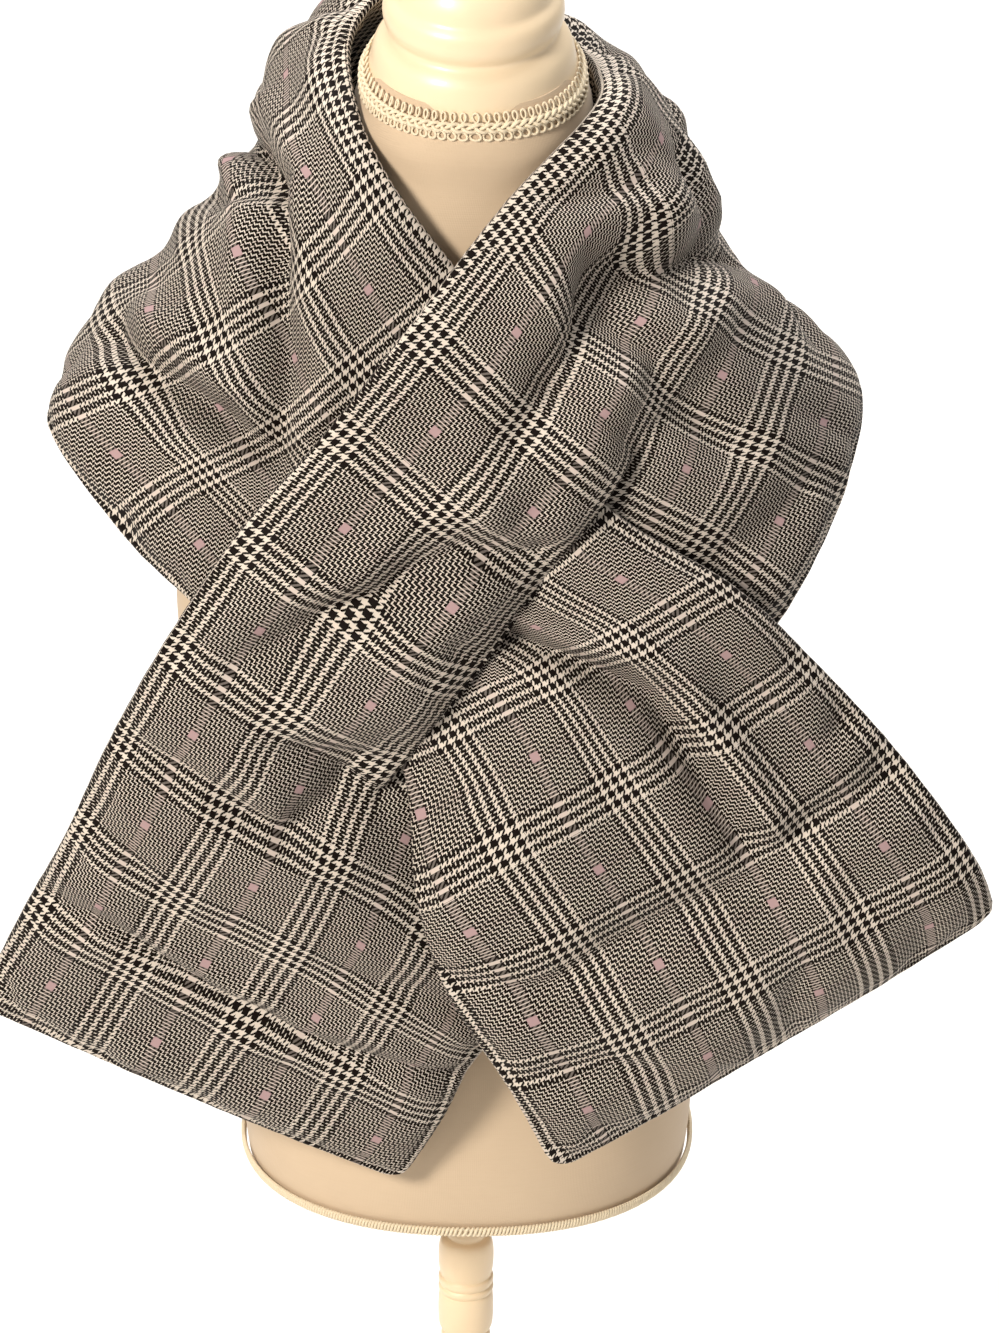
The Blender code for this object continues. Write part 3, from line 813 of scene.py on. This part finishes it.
@dataclass
class PaddedScarf:
    """The scarf: one padded tube of cloth, flat 260 by 1570 mm, with a slit for its other end."""

    repeat: float = 66.5
    width: float = 260.0
    edge_half: float = 1.2
    edge_roll: float = 26.0
    corner_radius: float = 13.0
    slit_from: float = 4.85
    slit_to: float = 7.92
    slit_across: float = 0.52
    lip_lift: float = 30.0
    lip_drop: float = 8.0
    lip_reach: float = 62.0
    lip_curl: float = 9.0
    curl_reach: float = 17.0
    lip_dip: float = 4.0
    dip_from: float = 42.0
    dip_reach: float = 22.0
    deepest: float = 2.2
    reverse_share: float = 0.35
    crease_round: float = 0.3
    crease_wander: float = 0.25
    crease_spacing: float = 24.0
    bulge_at: float = 2.1
    bulge_share: float = 0.3
    seam_inset: float = 5.5
    seam_depth: float = 1.2
    seam_width: float = 1.7
    pucker_spacing: float = 11.0
    pucker_reach: float = 15.0
    left_end: float = 11.87
    right_end: float = -11.75
    hem_span: float = 0.4
    corner_fade: float = 0.9
    even_share: float = 0.45
    crowded_share: float = 0.55
    hem_rows: int = 6
    long_rows: int = 148
    slit_rows: int = 28
    end_rows: int = 30
    columns: int = 40
    pressure: float = 4.0
    billow_cap: float = 4.5
    billow_fade: float = 16.0
    fill: float = 0.45
    neck_line: float = 9.0
    rolled_strip: float = 13.0
    rolled_to: float = 5.0

    def row_stations(self, rows: np.ndarray, step: int) -> np.ndarray:
        """Stations of the rows, closer together at both hems.

        Args:
            rows: row numbers.
            step: rows of this mesh for each coarse row.

        Returns:
            A station for each row.
        """
        r = rows / step
        counts = (0, self.hem_rows, self.long_rows, self.slit_rows, self.end_rows, self.hem_rows)
        marks = np.cumsum(counts)
        quarter = math.pi / 2
        in_hems = (np.clip(done / self.hem_rows, 0, 1) * quarter for done in (r, marks[5] - r))
        first, last = (self.hem_span * (1 - np.cos(turn)) for turn in in_hems)
        knots = (self.right_end + self.hem_span, self.slit_from, self.slit_to, self.left_end - self.hem_span)
        middle = np.interp(r, marks[1:5], knots)
        ends = np.where(r < marks[1], self.right_end + first, self.left_end - last)
        return np.where((r < marks[1]) | (r > marks[4]), ends, middle)

    def column_shares(self, columns: np.ndarray, step: int) -> np.ndarray:
        """Places across the scarf of the columns, closer together at the edges and the slit.

        Args:
            columns: column numbers.
            step: columns of this mesh for each coarse column.

        Returns:
            A share across for each column.
        """
        c = columns / (step * self.columns)
        t = np.where(c < 0.5, 2 * c, 2 * c - 1)
        t = self.even_share * t + self.crowded_share * (0.5 - 0.5 * np.cos(math.pi * t))
        return np.where(c < 0.5, self.slit_across * t, self.slit_across + (1 - self.slit_across) * t)

    def hem_drop(self, across: np.ndarray) -> np.ndarray:
        """How far the rounded corners draw a hem back.

        Args:
            across: place across the scarf.

        Returns:
            Stations for each place.
        """
        edge = np.minimum(across, 1 - across) * self.width
        short = np.clip(self.corner_radius - edge, 0, self.corner_radius)
        return (self.corner_radius - np.sqrt(self.corner_radius**2 - short**2)) / self.repeat

    def hem_distance(self, spots: Spots) -> np.ndarray:
        """Millimetres to the nearer hem, below 0 past it."""
        drop = self.hem_drop(spots.across)
        left, right = self.left_end - drop - spots.station, spots.station - self.right_end - drop
        return np.minimum(left, right) * self.repeat

    def spots_of(self, cut: Cut, step: int) -> Spots:
        """Where every vertex lies on the cloth.

        Args:
            cut: where the vertices lie on the grid.
            step: rows of this mesh for each coarse row.

        Returns:
            A place for each vertex.
        """
        across = self.column_shares(cut.column, step)
        stations = self.row_stations(cut.row, step)
        drop = self.hem_drop(across)
        from_hems = (self.left_end - stations, stations - self.right_end)
        near_left, near_right = (np.clip(1 - far / self.corner_fade, 0, 1) ** 1.5 for far in from_hems)
        return Spots(stations - drop * near_left + drop * near_right, across, cut.face, cut.side)

    def edge_distance(self, spots: Spots) -> np.ndarray:
        """Distance to the nearest edge, hem or slit along the cloth.

        Args:
            spots: places on the cloth.

        Returns:
            Millimetres for each place.
        """
        side = np.minimum(spots.across, 1 - spots.across) * self.width
        past = np.maximum(self.slit_from - spots.station, spots.station - self.slit_to)
        slit = np.hypot(np.maximum(past, 0) * self.repeat, (spots.across - self.slit_across) * self.width)
        return np.minimum(np.minimum(side, slit), np.maximum(self.hem_distance(spots), 0))

    def outward(self, stations: np.ndarray) -> np.ndarray:
        """Unit direction off the show face of each section.

        Args:
            stations: place along the scarf.

        Returns:
            A direction for each place.
        """
        step = 0.02
        ahead, behind = (along_table(places, SECTIONS, "inner") + along_table(places, SECTIONS, "outer")
                         for places in (stations + step, stations - step))
        chord = along_table(stations, SECTIONS, "outer") - along_table(stations, SECTIONS, "inner")
        normal = np.cross(ahead - behind, chord)
        return normal / np.linalg.norm(normal, axis=1)[:, None]

    def trough(self, spots: Spots) -> np.ndarray:
        """Depth of the creases, less the bulges beside them.

        Args:
            spots: places on the cloth.

        Returns:
            Millimetres below the smooth cloth for each place.
        """
        depth = np.zeros(len(spots.station))
        scale = np.array([self.repeat, self.width])
        places = np.stack([spots.station, spots.across], axis=1) * scale
        for number, crease in enumerate(CREASES):
            path = np.array(crease.path) * scale
            lengths = np.linalg.norm(np.diff(path, axis=0), axis=1)
            begun = np.concatenate([[0], np.cumsum(lengths)])
            away = np.full(len(depth), 1e9)
            share, side = np.zeros((2, len(depth)))
            for start, end, done, length in zip(path, path[1:], begun, lengths):
                along = (end - start) / length
                t = np.clip((places - start) @ along, 0, length)
                offset = places - start - t[:, None] * along
                gap = np.linalg.norm(offset, axis=1)
                nearer = gap < away
                away = np.where(nearer, gap, away)
                share = np.where(nearer, (done + t) / begun[-1], share)
                turned = along[0] * offset[:, 1] - along[1] * offset[:, 0]
                side = np.where(nearer, turned / np.maximum(gap, 1e-6), side)
            wander = uneven(share * begun[-1], self.crease_spacing, number)
            x = away / (crease.reach * (1 + self.crease_wander * wander))
            taper = np.sin(math.pi * (0.12 + 0.76 * share)) ** 0.8
            valley = np.exp(self.crease_round - np.sqrt(x**2 * 1.9 + self.crease_round**2))
            bulge = self.bulge_share * (1 + crease.bulge * side) * fades(x - self.bulge_at, 1.0)
            depth += crease.depth * taper * (valley - bulge * (x > 0.2))
        return depth

    def puckers(self, spots: Spots) -> np.ndarray:
        """Small gathers along the sewn edges, the sewn line itself and soft swells.

        Args:
            spots: places on the cloth.

        Returns:
            Millimetres off the smooth cloth for each place.
        """
        u = (spots.station - self.right_end) * self.repeat
        v = spots.across * self.width
        long_way, short_way = u + 3 * spots.face, v + 3 * spots.face
        hems = [np.abs(end - spots.station) * self.repeat for end in (self.left_end, self.right_end)]
        gathers = np.zeros(len(u))
        for seed, way, distance in ((11, long_way, v), (12, long_way, self.width - v),
                                    (13, short_way, hems[0]), (14, short_way, hems[1])):
            wave = uneven(way, self.pucker_spacing, seed)
            if way is long_way:
                wave = wave * (0.6 + 0.4 * uneven(u, 60, seed + 20))
            gathers += wave * fades(distance, self.pucker_reach) * np.clip(distance / 2.5, 0, 1)
        swell = uneven_field(u, v, (52, 34), 3) + 0.6 * uneven_field(u + v, v - 0.5 * u, (31, 46), 4)
        fine = uneven_field(u, v, (19, 15), 5)
        calm = np.clip(self.edge_distance(spots) / 12, 0, 1)
        inside = np.minimum(np.minimum(v, self.width - v), self.hem_distance(spots))
        sewn = self.seam_depth * fades(inside - self.seam_inset, self.seam_width)
        return 0.5 * gathers + (1.3 * swell + 0.5 * fine) * calm - sewn

    def settle(self, spots: Spots, fine: bool) -> np.ndarray:
        """Places of the cloth's faces.

        Args:
            spots: places on the cloth.
            fine: whether puckers are added.

        Returns:
            A point in metres for each place.
        """
        stations, across, face, side = spots
        inner, outer, rise, puff = (along_table(stations, SECTIONS, column)
                                    for column in ("inner", "outer", "rise", "puff"))
        puff = puff[:, 0]
        normal = self.outward(stations)
        edge = self.edge_distance(spots)
        t = np.clip((stations - self.slit_from) / (self.slit_to - self.slit_from), 0, 1)
        opening = np.maximum(np.sin(math.pi * t), 0) ** 0.6
        from_slit = (self.slit_across - across) * self.width
        lift = np.where(side < 0, self.lip_lift, -self.lip_drop) * opening * fades(from_slit, self.lip_reach)
        stand_off = smooth_across(across, np.pad(rise, ((0, 0), (1, 1)))) + lift
        roll = 1 - np.clip(edge / self.edge_roll, 0, 1)
        half = self.edge_half + (puff - self.edge_half) * np.sqrt(1 - roll**2)
        trough = np.minimum(self.trough(spots) * np.clip(edge / 10, 0.25, 1), self.deepest * half)
        dip = self.lip_dip * fades(from_slit - self.dip_from, self.dip_reach)
        curled = self.lip_curl * fades(from_slit, self.curl_reach) - dip
        trough = trough + np.where(side < 0, opening * curled, 0)
        reverse = -half - self.reverse_share * np.maximum(trough, 0)
        height = stand_off + np.where(face == 1, half - trough, reverse)
        if fine:
            height = height + np.where(face == 1, 1, -0.5) * self.puckers(spots)
        middle = inner + (outer - inner) * across[:, None]
        return (middle + normal * height[:, None]) * MM + np.array([0, 0, NECK_HEIGHT])

    def cut_cloth(self, step: int) -> tuple[bpy.types.Mesh, Cut]:
        """Flat closed mesh of both faces with the slit cut, still on its grid.

        Args:
            step: rows of this mesh for each coarse row.

        Returns:
            The mesh and where its vertices lie on the grid.
        """
        rows = step * (2 * self.hem_rows + self.long_rows + self.slit_rows + self.end_rows)
        columns = step * self.columns
        split = columns // 2
        first = step * (self.hem_rows + self.long_rows)
        last = first + step * self.slit_rows
        bm = bmesh.new()
        bmesh.ops.create_grid(bm, x_segments=rows, y_segments=columns, size=0.5)
        bmesh.ops.translate(bm, verts=bm.verts, vec=(0.5, 0.5, 0))
        bmesh.ops.scale(bm, verts=bm.verts, vec=(rows, columns, 1))
        slit = []
        for edge in bm.edges:
            x = [vert.co.x for vert in edge.verts]
            y = [vert.co.y for vert in edge.verts]
            on_line = max(abs(value - split) for value in y) < 0.01
            if on_line and min(x) > first - 0.5 and max(x) < last + 0.5:
                slit.append(edge)
        bmesh.ops.split_edges(bm, edges=slit)
        made = bmesh.ops.extrude_face_region(bm, geom=bm.faces[:], use_keep_orig=True)
        raised = [item for item in made["geom"] if isinstance(item, bmesh.types.BMVert)]
        bmesh.ops.translate(bm, verts=raised, vec=(0, 0, 1))
        bmesh.ops.recalc_face_normals(bm, faces=bm.faces)
        bm.verts.index_update()
        count = len(bm.verts)
        for items in (bm.edges, bm.faces):
            items.sort(key=lambda item: self.rank(item, count))
        mesh = mesh_of(bm, "cloth")
        edge_ends = np.sort(read(mesh.edges, "vertices", 2, int), axis=1)
        mesh.edges.foreach_set("vertices", edge_ends.ravel())
        return mesh, self.read_cut(mesh, split, first, last)

    @staticmethod
    def rank(item: Union[bmesh.types.BMEdge, bmesh.types.BMFace], count: int) -> int:
        """Place of an edge or face in the order of its corners, the same in every run.

        Args:
            item: the edge or face.
            count: how many vertices there are.

        Returns:
            A number to sort by.
        """
        indices = [vert.index for vert in item.verts]
        return min(indices) * count + max(indices)

    @staticmethod
    def read_cut(mesh: bpy.types.Mesh, split: int, first: int, last: int) -> Cut:
        """Rows, columns, faces and slit sides of the vertices of a flat mesh.

        Args:
            mesh: the flat mesh.
            split: column of the slit.
            first: row where it starts.
            last: row where it ends.

        Returns:
            Where the vertices lie.
        """
        row, column, face = np.rint(read(mesh.vertices, "co", 3)).astype(int).T
        side = np.where(column < split, -1, 1)
        corner = read(mesh.loops, "vertex_index", kind=int)
        total = read(mesh.polygons, "loop_total", kind=int)
        middle = np.repeat(read(mesh.polygons, "center", 3)[:, 1], total)
        lowest = np.full(len(column), 1e9)
        np.minimum.at(lowest, corner, middle)
        on_slit = (column == split) & (row > first) & (row < last)
        side[on_slit & (lowest < split - 0.25)] = -1
        return Cut(row, column, face, side)

    def billow(self) -> np.ndarray:
        """Inflates a coarse copy of the scarf with cloth simulation.

        Returns:
            How far each place of the coarse grid moves, as face, side, row, column, axis, in metres.
        """
        mesh, cut = self.cut_cloth(1)
        spots = self.spots_of(cut, 1)
        start = self.settle(spots, False)
        mesh.vertices.foreach_set("co", start.ravel())
        pad = placed("billowing", mesh)
        edge = self.edge_distance(spots)
        held = pad.vertex_groups.new(name="held")
        for index in np.nonzero(edge < 1)[0]:
            held.add([int(index)], 0.6, "REPLACE")
        cloth = pad.modifiers.new("Cloth", "CLOTH")
        settings = {
            "quality": 5, "mass": 0.25, "tension_stiffness": 12, "compression_stiffness": 8,
            "shear_stiffness": 4, "bending_stiffness": 0.4, "shrink_min": -0.035, "use_pressure": True,
            "uniform_pressure_force": self.pressure, "vertex_group_mass": "held", "pin_stiffness": 1.0,
        }
        for key, value in settings.items():
            setattr(cloth.settings, key, value)
        cloth.settings.effector_weights.gravity = 0
        cloth.collision_settings.use_collision = False
        cloth.collision_settings.use_self_collision = False
        scene = bpy.context.scene
        for frame in range(1, 21):
            scene.frame_set(frame)
        graph = bpy.context.evaluated_depsgraph_get()
        push = read(pad.evaluated_get(graph).data.vertices, "co", 3) - start
        scene.frame_set(1)
        bpy.data.objects.remove(pad, do_unlink=True)
        size = np.linalg.norm(push, axis=1)
        cap = self.billow_cap * MM
        eased = cap * np.tanh(size / cap) / np.maximum(size, 1e-9)
        push *= (eased * np.clip(edge / self.billow_fade, 0.1, 1))[:, None]
        log.info("billow: mean %.1f mm, most %.1f mm", size.mean() / MM, size.max() / MM)
        return self.on_grid(cut, push)

    def on_grid(self, cut: Cut, push: np.ndarray) -> np.ndarray:
        """Lays the movement of the coarse vertices out on their grid.

        Args:
            cut: where the vertices lie on the grid.
            push: how far each moves.

        Returns:
            Movement as face, side, row, column, axis.
        """
        rows, columns = cut.row.max() + 1, cut.column.max() + 1
        grid = np.zeros((2, 2, rows, columns, 3))
        split = (columns - 1) // 2
        for k, side in enumerate((-1, 1)):
            mine = (cut.side == side) | (cut.column == split)
            order = np.argsort(cut.side[mine] == side, kind="stable")
            picked = np.nonzero(mine)[0][order]
            grid[cut.face[picked], k, cut.row[picked], cut.column[picked]] = push[picked]
        return grid

    @staticmethod
    def doubled(grid: np.ndarray, axis: int) -> np.ndarray:
        """Halves the spacing of a grid along one axis, with smooth values between the old ones.

        Args:
            grid: the grid.
            axis: the axis.

        Returns:
            The finer grid.
        """
        grid = np.moveaxis(grid, axis, 0)
        wide = np.concatenate([grid[:1], grid, grid[-1:]])
        between = (9 * (wide[1:-2] + wide[2:-1]) - wide[:-3] - wide[3:]) / 16
        out = np.empty((2 * len(grid) - 1, *grid.shape[1:]))
        out[0::2], out[1::2] = grid, between
        return np.moveaxis(out, 0, axis)

    def build(self) -> bpy.types.Object:
        """Builds and dresses the scarf.

        Returns:
            The piece.
        """
        step = 2
        mesh, cut = self.cut_cloth(step)
        spots = self.spots_of(cut, step)
        places = self.settle(spots, True)
        places = places + self.spread(self.billow(), cut)
        mesh.vertices.foreach_set("co", places.ravel())
        self.lay_out(mesh, spots)
        mesh.materials.append(TwillCheck("show_cloth").material())
        mesh.materials.append(TwillCheck("reverse_cloth", fine=False).material())
        mesh.update()
        piece = new_piece("scarf", mesh, "scarf_cloth", "scarf_collar", "scarf_left_front",
                          "scarf_right_front", "scarf_through_tail")
        return piece

    def spread(self, grid: np.ndarray, cut: Cut) -> np.ndarray:
        """Movement of each fine vertex, read from the coarse grid.

        Args:
            grid: movement as face, side, row, column, axis.
            cut: where the fine vertices lie on their grid.

        Returns:
            Movement of each vertex.
        """
        split = (grid.shape[3] - 1) // 2
        column = np.clip(np.where(cut.side < 0, cut.column, cut.column - 2 * split), 0, 2 * split)
        left, right = (self.doubled(self.doubled(grid[:, k, :, part], 1), 2)[cut.face, cut.row, column]
                       for k, part in enumerate((slice(0, split + 1), slice(split, None))))
        return np.where((cut.side < 0)[:, None], left, right)

    def lay_out(self, mesh: bpy.types.Mesh, spots: Spots) -> None:
        """Gives the mesh its cloth UV map in metres and picks each face's cloth.

        Args:
            mesh: the scarf's mesh.
            spots: where its vertices lie on the cloth.
        """
        stations, across, face, _ = spots
        along, sideways = (smooth_across(across, along_table(stations, SLACKS, column))
                           for column in ("along", "across"))
        flat = np.stack([stations * self.repeat + along * face,
                         across * self.width - self.neck_line + sideways * face], axis=1) * MM
        corner = read(mesh.loops, "vertex_index", kind=int)
        mesh.uv_layers.new(name="cloth").data.foreach_set("uv", flat[corner].ravel())
        total = read(mesh.polygons, "loop_total", kind=int)
        starts = np.concatenate([[0], np.cumsum(total)[:-1]])
        highest = np.maximum.reduceat(face[corner], starts)
        edge = np.add.reduceat(across[corner], starts) / total * self.width
        where = np.add.reduceat(stations[corner], starts) / total
        rolled = self.rolled_strip * np.clip((self.rolled_to - np.abs(where)) / 1.2, 0, 1)
        reverse = (highest == 0) | (edge < rolled)
        index = np.where(reverse, ClothFace.REVERSE.value, ClothFace.SHOW.value)
        mesh.polygons.foreach_set("material_index", index.astype(np.int32))


@dataclass
class DressForm:
    """Limbless body under linen, with its braids and its turned cap, post and foot."""

    ring_power: float = 2.25
    sides: int = 112
    levels: int = 90
    shoulder_blend: float = 60.0
    turned_sides: int = 48
    neck_loops: int = 75
    braid_foot: float = -6.0
    hem_stitches: int = 210
    hem_level: float = -608.5

    def level(self, height: float, turns: np.ndarray, grow: float = 0.0) -> np.ndarray:
        """Points round the torso at one level.

        Args:
            height: millimetres from the neck seam.
            turns: angles round it.
            grow: millimetres off its surface.

        Returns:
            Points in metres.
        """
        rings = TORSO_RINGS[::-1]
        knots = [ring.height for ring in rings]
        rows = [(ring.half_width, ring.front, ring.back) for ring in rings]
        width, front, back = smooth_through(np.array([height]), knots, rows)[0]
        c, s = np.cos(turns), np.sin(turns)
        depth = np.where(s > 0, back, front)
        power = 2 / self.ring_power
        x = np.sign(c) * np.abs(c) ** power * (width + grow)
        y = np.sign(s) * np.abs(s) ** power * (depth + grow)
        points = np.stack([x, y, np.full(len(turns), height)], axis=1) * MM
        share = min(max(1 + height / self.shoulder_blend, 0), 1)
        tilt = np.array(Matrix.Rotation(NECK_TILT * share, 3, "X"))
        return points @ tilt.T + np.array([0, 0, NECK_HEIGHT])

    def build_body(self) -> bpy.types.Object:
        """Linen-covered torso.

        Returns:
            The piece.
        """
        bm = bmesh.new()
        bmesh.ops.create_grid(bm, x_segments=self.sides, y_segments=self.levels, size=0.5)
        low, high = TORSO_RINGS[-1].height, TORSO_RINGS[0].height
        for vert in bm.verts:
            share = vert.co.y + 0.5
            height = high + (low - high) * (share + 0.10 * math.sin(2 * math.pi * share) / math.pi)
            turn = np.array([2 * math.pi * (vert.co.x + 0.5)])
            vert.co = Vector(self.level(height, turn)[0])
        bmesh.ops.remove_doubles(bm, verts=bm.verts, dist=0.00001)
        bmesh.ops.holes_fill(bm, edges=[edge for edge in bm.edges if edge.is_boundary], sides=0)
        bmesh.ops.recalc_face_normals(bm, faces=bm.faces)
        mesh = mesh_of(bm, "linen_body")
        mesh.set_sharp_from_angle(angle=math.radians(40))
        mesh.materials.append(Linen().material())
        return new_piece("linen_body", mesh, "linen", "torso")

    def build_turned(self, part: TurnedPiece, finish: bpy.types.Material) -> bpy.types.Object:
        """Turned piece.

        Args:
            part: what it is.
            finish: its material.

        Returns:
            The piece.
        """
        bm = bmesh.new()
        verts = [bm.verts.new((turn.radius * MM, 0, turn.height * MM)) for turn in part.profile]
        edges = [bm.edges.new(pair) for pair in zip(verts, verts[1:])]
        bmesh.ops.spin(bm, geom=verts + edges, cent=(0, 0, 0), axis=(0, 0, 1), angle=2 * math.pi,
                       steps=self.turned_sides, use_merge=True, use_duplicate=False)
        bmesh.ops.remove_doubles(bm, verts=bm.verts, dist=0.00001)
        bmesh.ops.recalc_face_normals(bm, faces=bm.faces)
        bmesh.ops.rotate(bm, verts=bm.verts, cent=(0, 0, 0), matrix=Matrix.Rotation(part.tilt, 3, "X"))
        bmesh.ops.translate(bm, verts=bm.verts, vec=(0, 0, part.height))
        mesh = mesh_of(bm, part.name)
        mesh.materials.append(finish)
        piece = new_piece(part.name, mesh, "white_wood", part.node)
        smooth = piece.modifiers.new("Round", "SUBSURF")
        smooth.levels = smooth.render_levels = 2
        return piece

    def cord_round(self, name: str, strands: Sequence[tuple[np.ndarray, float]], node: str,
                   finish: bpy.types.Material) -> bpy.types.Object:
        """Closed cords joined in one mesh.

        Args:
            name: the piece's name.
            strands: closed paths in metres, each with its cord's radius in millimetres.
            node: CAD node that it stands for.
            finish: its material.

        Returns:
            The piece.
        """
        curve = bpy.data.curves.new(name, "CURVE")
        curve.dimensions = "3D"
        curve.bevel_depth = MM
        curve.bevel_resolution = 1
        for path, radius in strands:
            spline = curve.splines.new("POLY")
            spline.points.add(len(path) - 1)
            spline.points.foreach_set("radius", np.full(len(path), radius))
            spline.points.foreach_set("co", np.hstack([path, np.ones((len(path), 1))]).ravel())
            spline.use_cyclic_u = True
        shape = placed(name + "_path", curve)
        graph = bpy.context.evaluated_depsgraph_get()
        mesh = bpy.data.meshes.new_from_object(shape.evaluated_get(graph))
        bpy.data.objects.remove(shape, do_unlink=True)
        mesh.materials.clear()
        mesh.shade_smooth()
        mesh.materials.append(finish)
        return new_piece(name, mesh, "braid", node)

    def on_neck(self, turns: np.ndarray, up: np.ndarray, out: np.ndarray) -> np.ndarray:
        """Points on the slope of the neck.

        Args:
            turns: angles round the neck.
            up: millimetres from the braid's lower edge.
            out: millimetres off the linen.

        Returns:
            Points in metres.
        """
        return np.array([self.level(self.braid_foot + rise * 0.93, np.array([turn]), grow=off)[0]
                         for turn, rise, off in zip(turns, up, out)])

    def build_neck_braid(self, finish: bpy.types.Material) -> bpy.types.Object:
        """Looped gimp round the neck: a row of loops along each edge and a plait between them.

        Args:
            finish: its material.

        Returns:
            The piece.
        """
        t = np.linspace(0, 2 * math.pi, self.neck_loops * 20, endpoint=False)
        phase = t * self.neck_loops
        sway, swing = np.sin(phase), np.cos(phase)
        top = self.on_neck(t + 3.0 * sway / self.neck_loops, 12.2 - 3.0 * swing, 1.9 + 0.4 * sway)
        low = self.on_neck(t + 4.0 * sway / self.neck_loops, 3.4 + 2.6 * swing, 1.1 + 0.4 * sway)
        plait = [self.on_neck(t, 7.8 + 1.9 * np.sin(turn), 2.1 + 0.6 * np.sin(2 * turn))
                 for turn in (phase / 3 + shift * 2 * math.pi / 3 for shift in range(3))]
        strands = [(top, 0.55), (low, 0.7), *((path, 0.95) for path in plait)]
        return self.cord_round("neck_gimp", strands, "neck_braid", finish)

    def build_hem_braid(self, finish: bpy.types.Material) -> bpy.types.Object:
        """Narrow gimp round the bottom edge.

        Args:
            finish: its material.

        Returns:
            The piece.
        """
        t = np.linspace(0, 2 * math.pi, self.hem_stitches * 8, endpoint=False)
        strands = []
        for shift in (0.0, math.pi):
            wave = t * self.hem_stitches + shift
            path = [self.level(self.hem_level + 2.4 * math.sin(w), np.array([a]), 1.5 + 0.5 * math.cos(w))[0]
                    for a, w in zip(t, wave)]
            strands.append((np.array(path), 0.85))
        return self.cord_round("hem_gimp", strands, "hem_braid", finish)

    def build(self) -> None:
        """Builds all of the form's pieces."""
        self.build_body()
        gimp = Gimp().material()
        self.build_neck_braid(gimp)
        self.build_hem_braid(gimp)
        paint = PaintedWood().material()
        for part in TURNED_PIECES:
            self.build_turned(part, paint)


class Lamp(NamedTuple):
    """A square soft light: its place, what it is aimed at, its side, its watts and its tint."""

    name: str
    place: tuple[float, float, float]
    target: tuple[float, float, float]
    size: float
    power: float
    tint: tuple[float, float, float]


LAMPS = (
    Lamp("key", (-1.75, -2.15, 2.3), (0, 0, 0.6), 0.7, 120, (1.0, 0.94, 0.86)),
    Lamp("fill", (2.2, -2.8, 1.2), (0, 0, 0.5), 2.4, 13, (1.0, 0.97, 0.94)),
    Lamp("floor_wash", (0.3, 1.3, 2.6), (0.1, 1.2, 0), 2.4, 100, (1.0, 0.99, 0.98)),
)


@dataclass
class Studio:
    """Floor, soft lights and the camera at the photograph's angle."""

    camera_place: tuple[float, float, float] = (0.0155, -4.0, 2.7311)
    pitch: float = 28.717
    roll: float = 0.45
    lens: float = 241.27

    def light(self, row: Lamp) -> None:
        """Adds one light.

        Args:
            row: its row of the table.
        """
        lamp = bpy.data.lights.new(row.name, "AREA")
        lamp.size, lamp.energy, lamp.color = row.size, row.power, row.tint
        holder = placed(row.name, lamp)
        holder.location = row.place
        aim = Vector(row.target) - Vector(row.place)
        holder.rotation_euler = aim.to_track_quat("-Z", "Y").to_euler()

    def aim_camera(self) -> None:
        """Puts the camera at the photograph's angle."""
        lens = bpy.data.cameras.new("photo")
        lens.lens = self.lens
        lens.sensor_width = 36
        lens.clip_end = 100
        camera = placed("photo", lens)
        turn = Matrix.Rotation(math.radians(90 - self.pitch), 4, "X")
        turn = turn @ Matrix.Rotation(math.radians(self.roll), 4, "Z")
        camera.matrix_world = Matrix.Translation(self.camera_place) @ turn
        bpy.context.scene.camera = camera

    def build(self) -> None:
        """Sets the whole studio up."""
        bm = bmesh.new()
        bmesh.ops.create_grid(bm, x_segments=1, y_segments=1, size=15)
        floor = placed("floor", mesh_of(bm, "floor"))
        pale = Tree("pale_floor")
        floor.data.materials.append(pale.finish(Base_Color=(0.86, 0.85, 0.83, 1.0), Roughness=0.9))
        world = bpy.data.worlds.new("room")
        world.use_nodes = True
        world.node_tree.nodes["Background"].inputs[0].default_value = (1.0, 0.985, 0.96, 1.0)
        world.node_tree.nodes["Background"].inputs[1].default_value = 0.25
        bpy.context.scene.world = world
        bpy.context.scene.view_settings.view_transform = "Standard"
        for row in LAMPS:
            self.light(row)
        self.aim_camera()


def main() -> None:
    """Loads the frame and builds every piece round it."""
    logging.basicConfig(level=logging.INFO, format="%(name)s: %(message)s")
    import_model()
    steps: Sequence[Callable[[], Any]] = (DressForm().build, PaddedScarf().build, Studio().build)
    for step in steps:
        step()


if __name__ == "__main__":
    main()
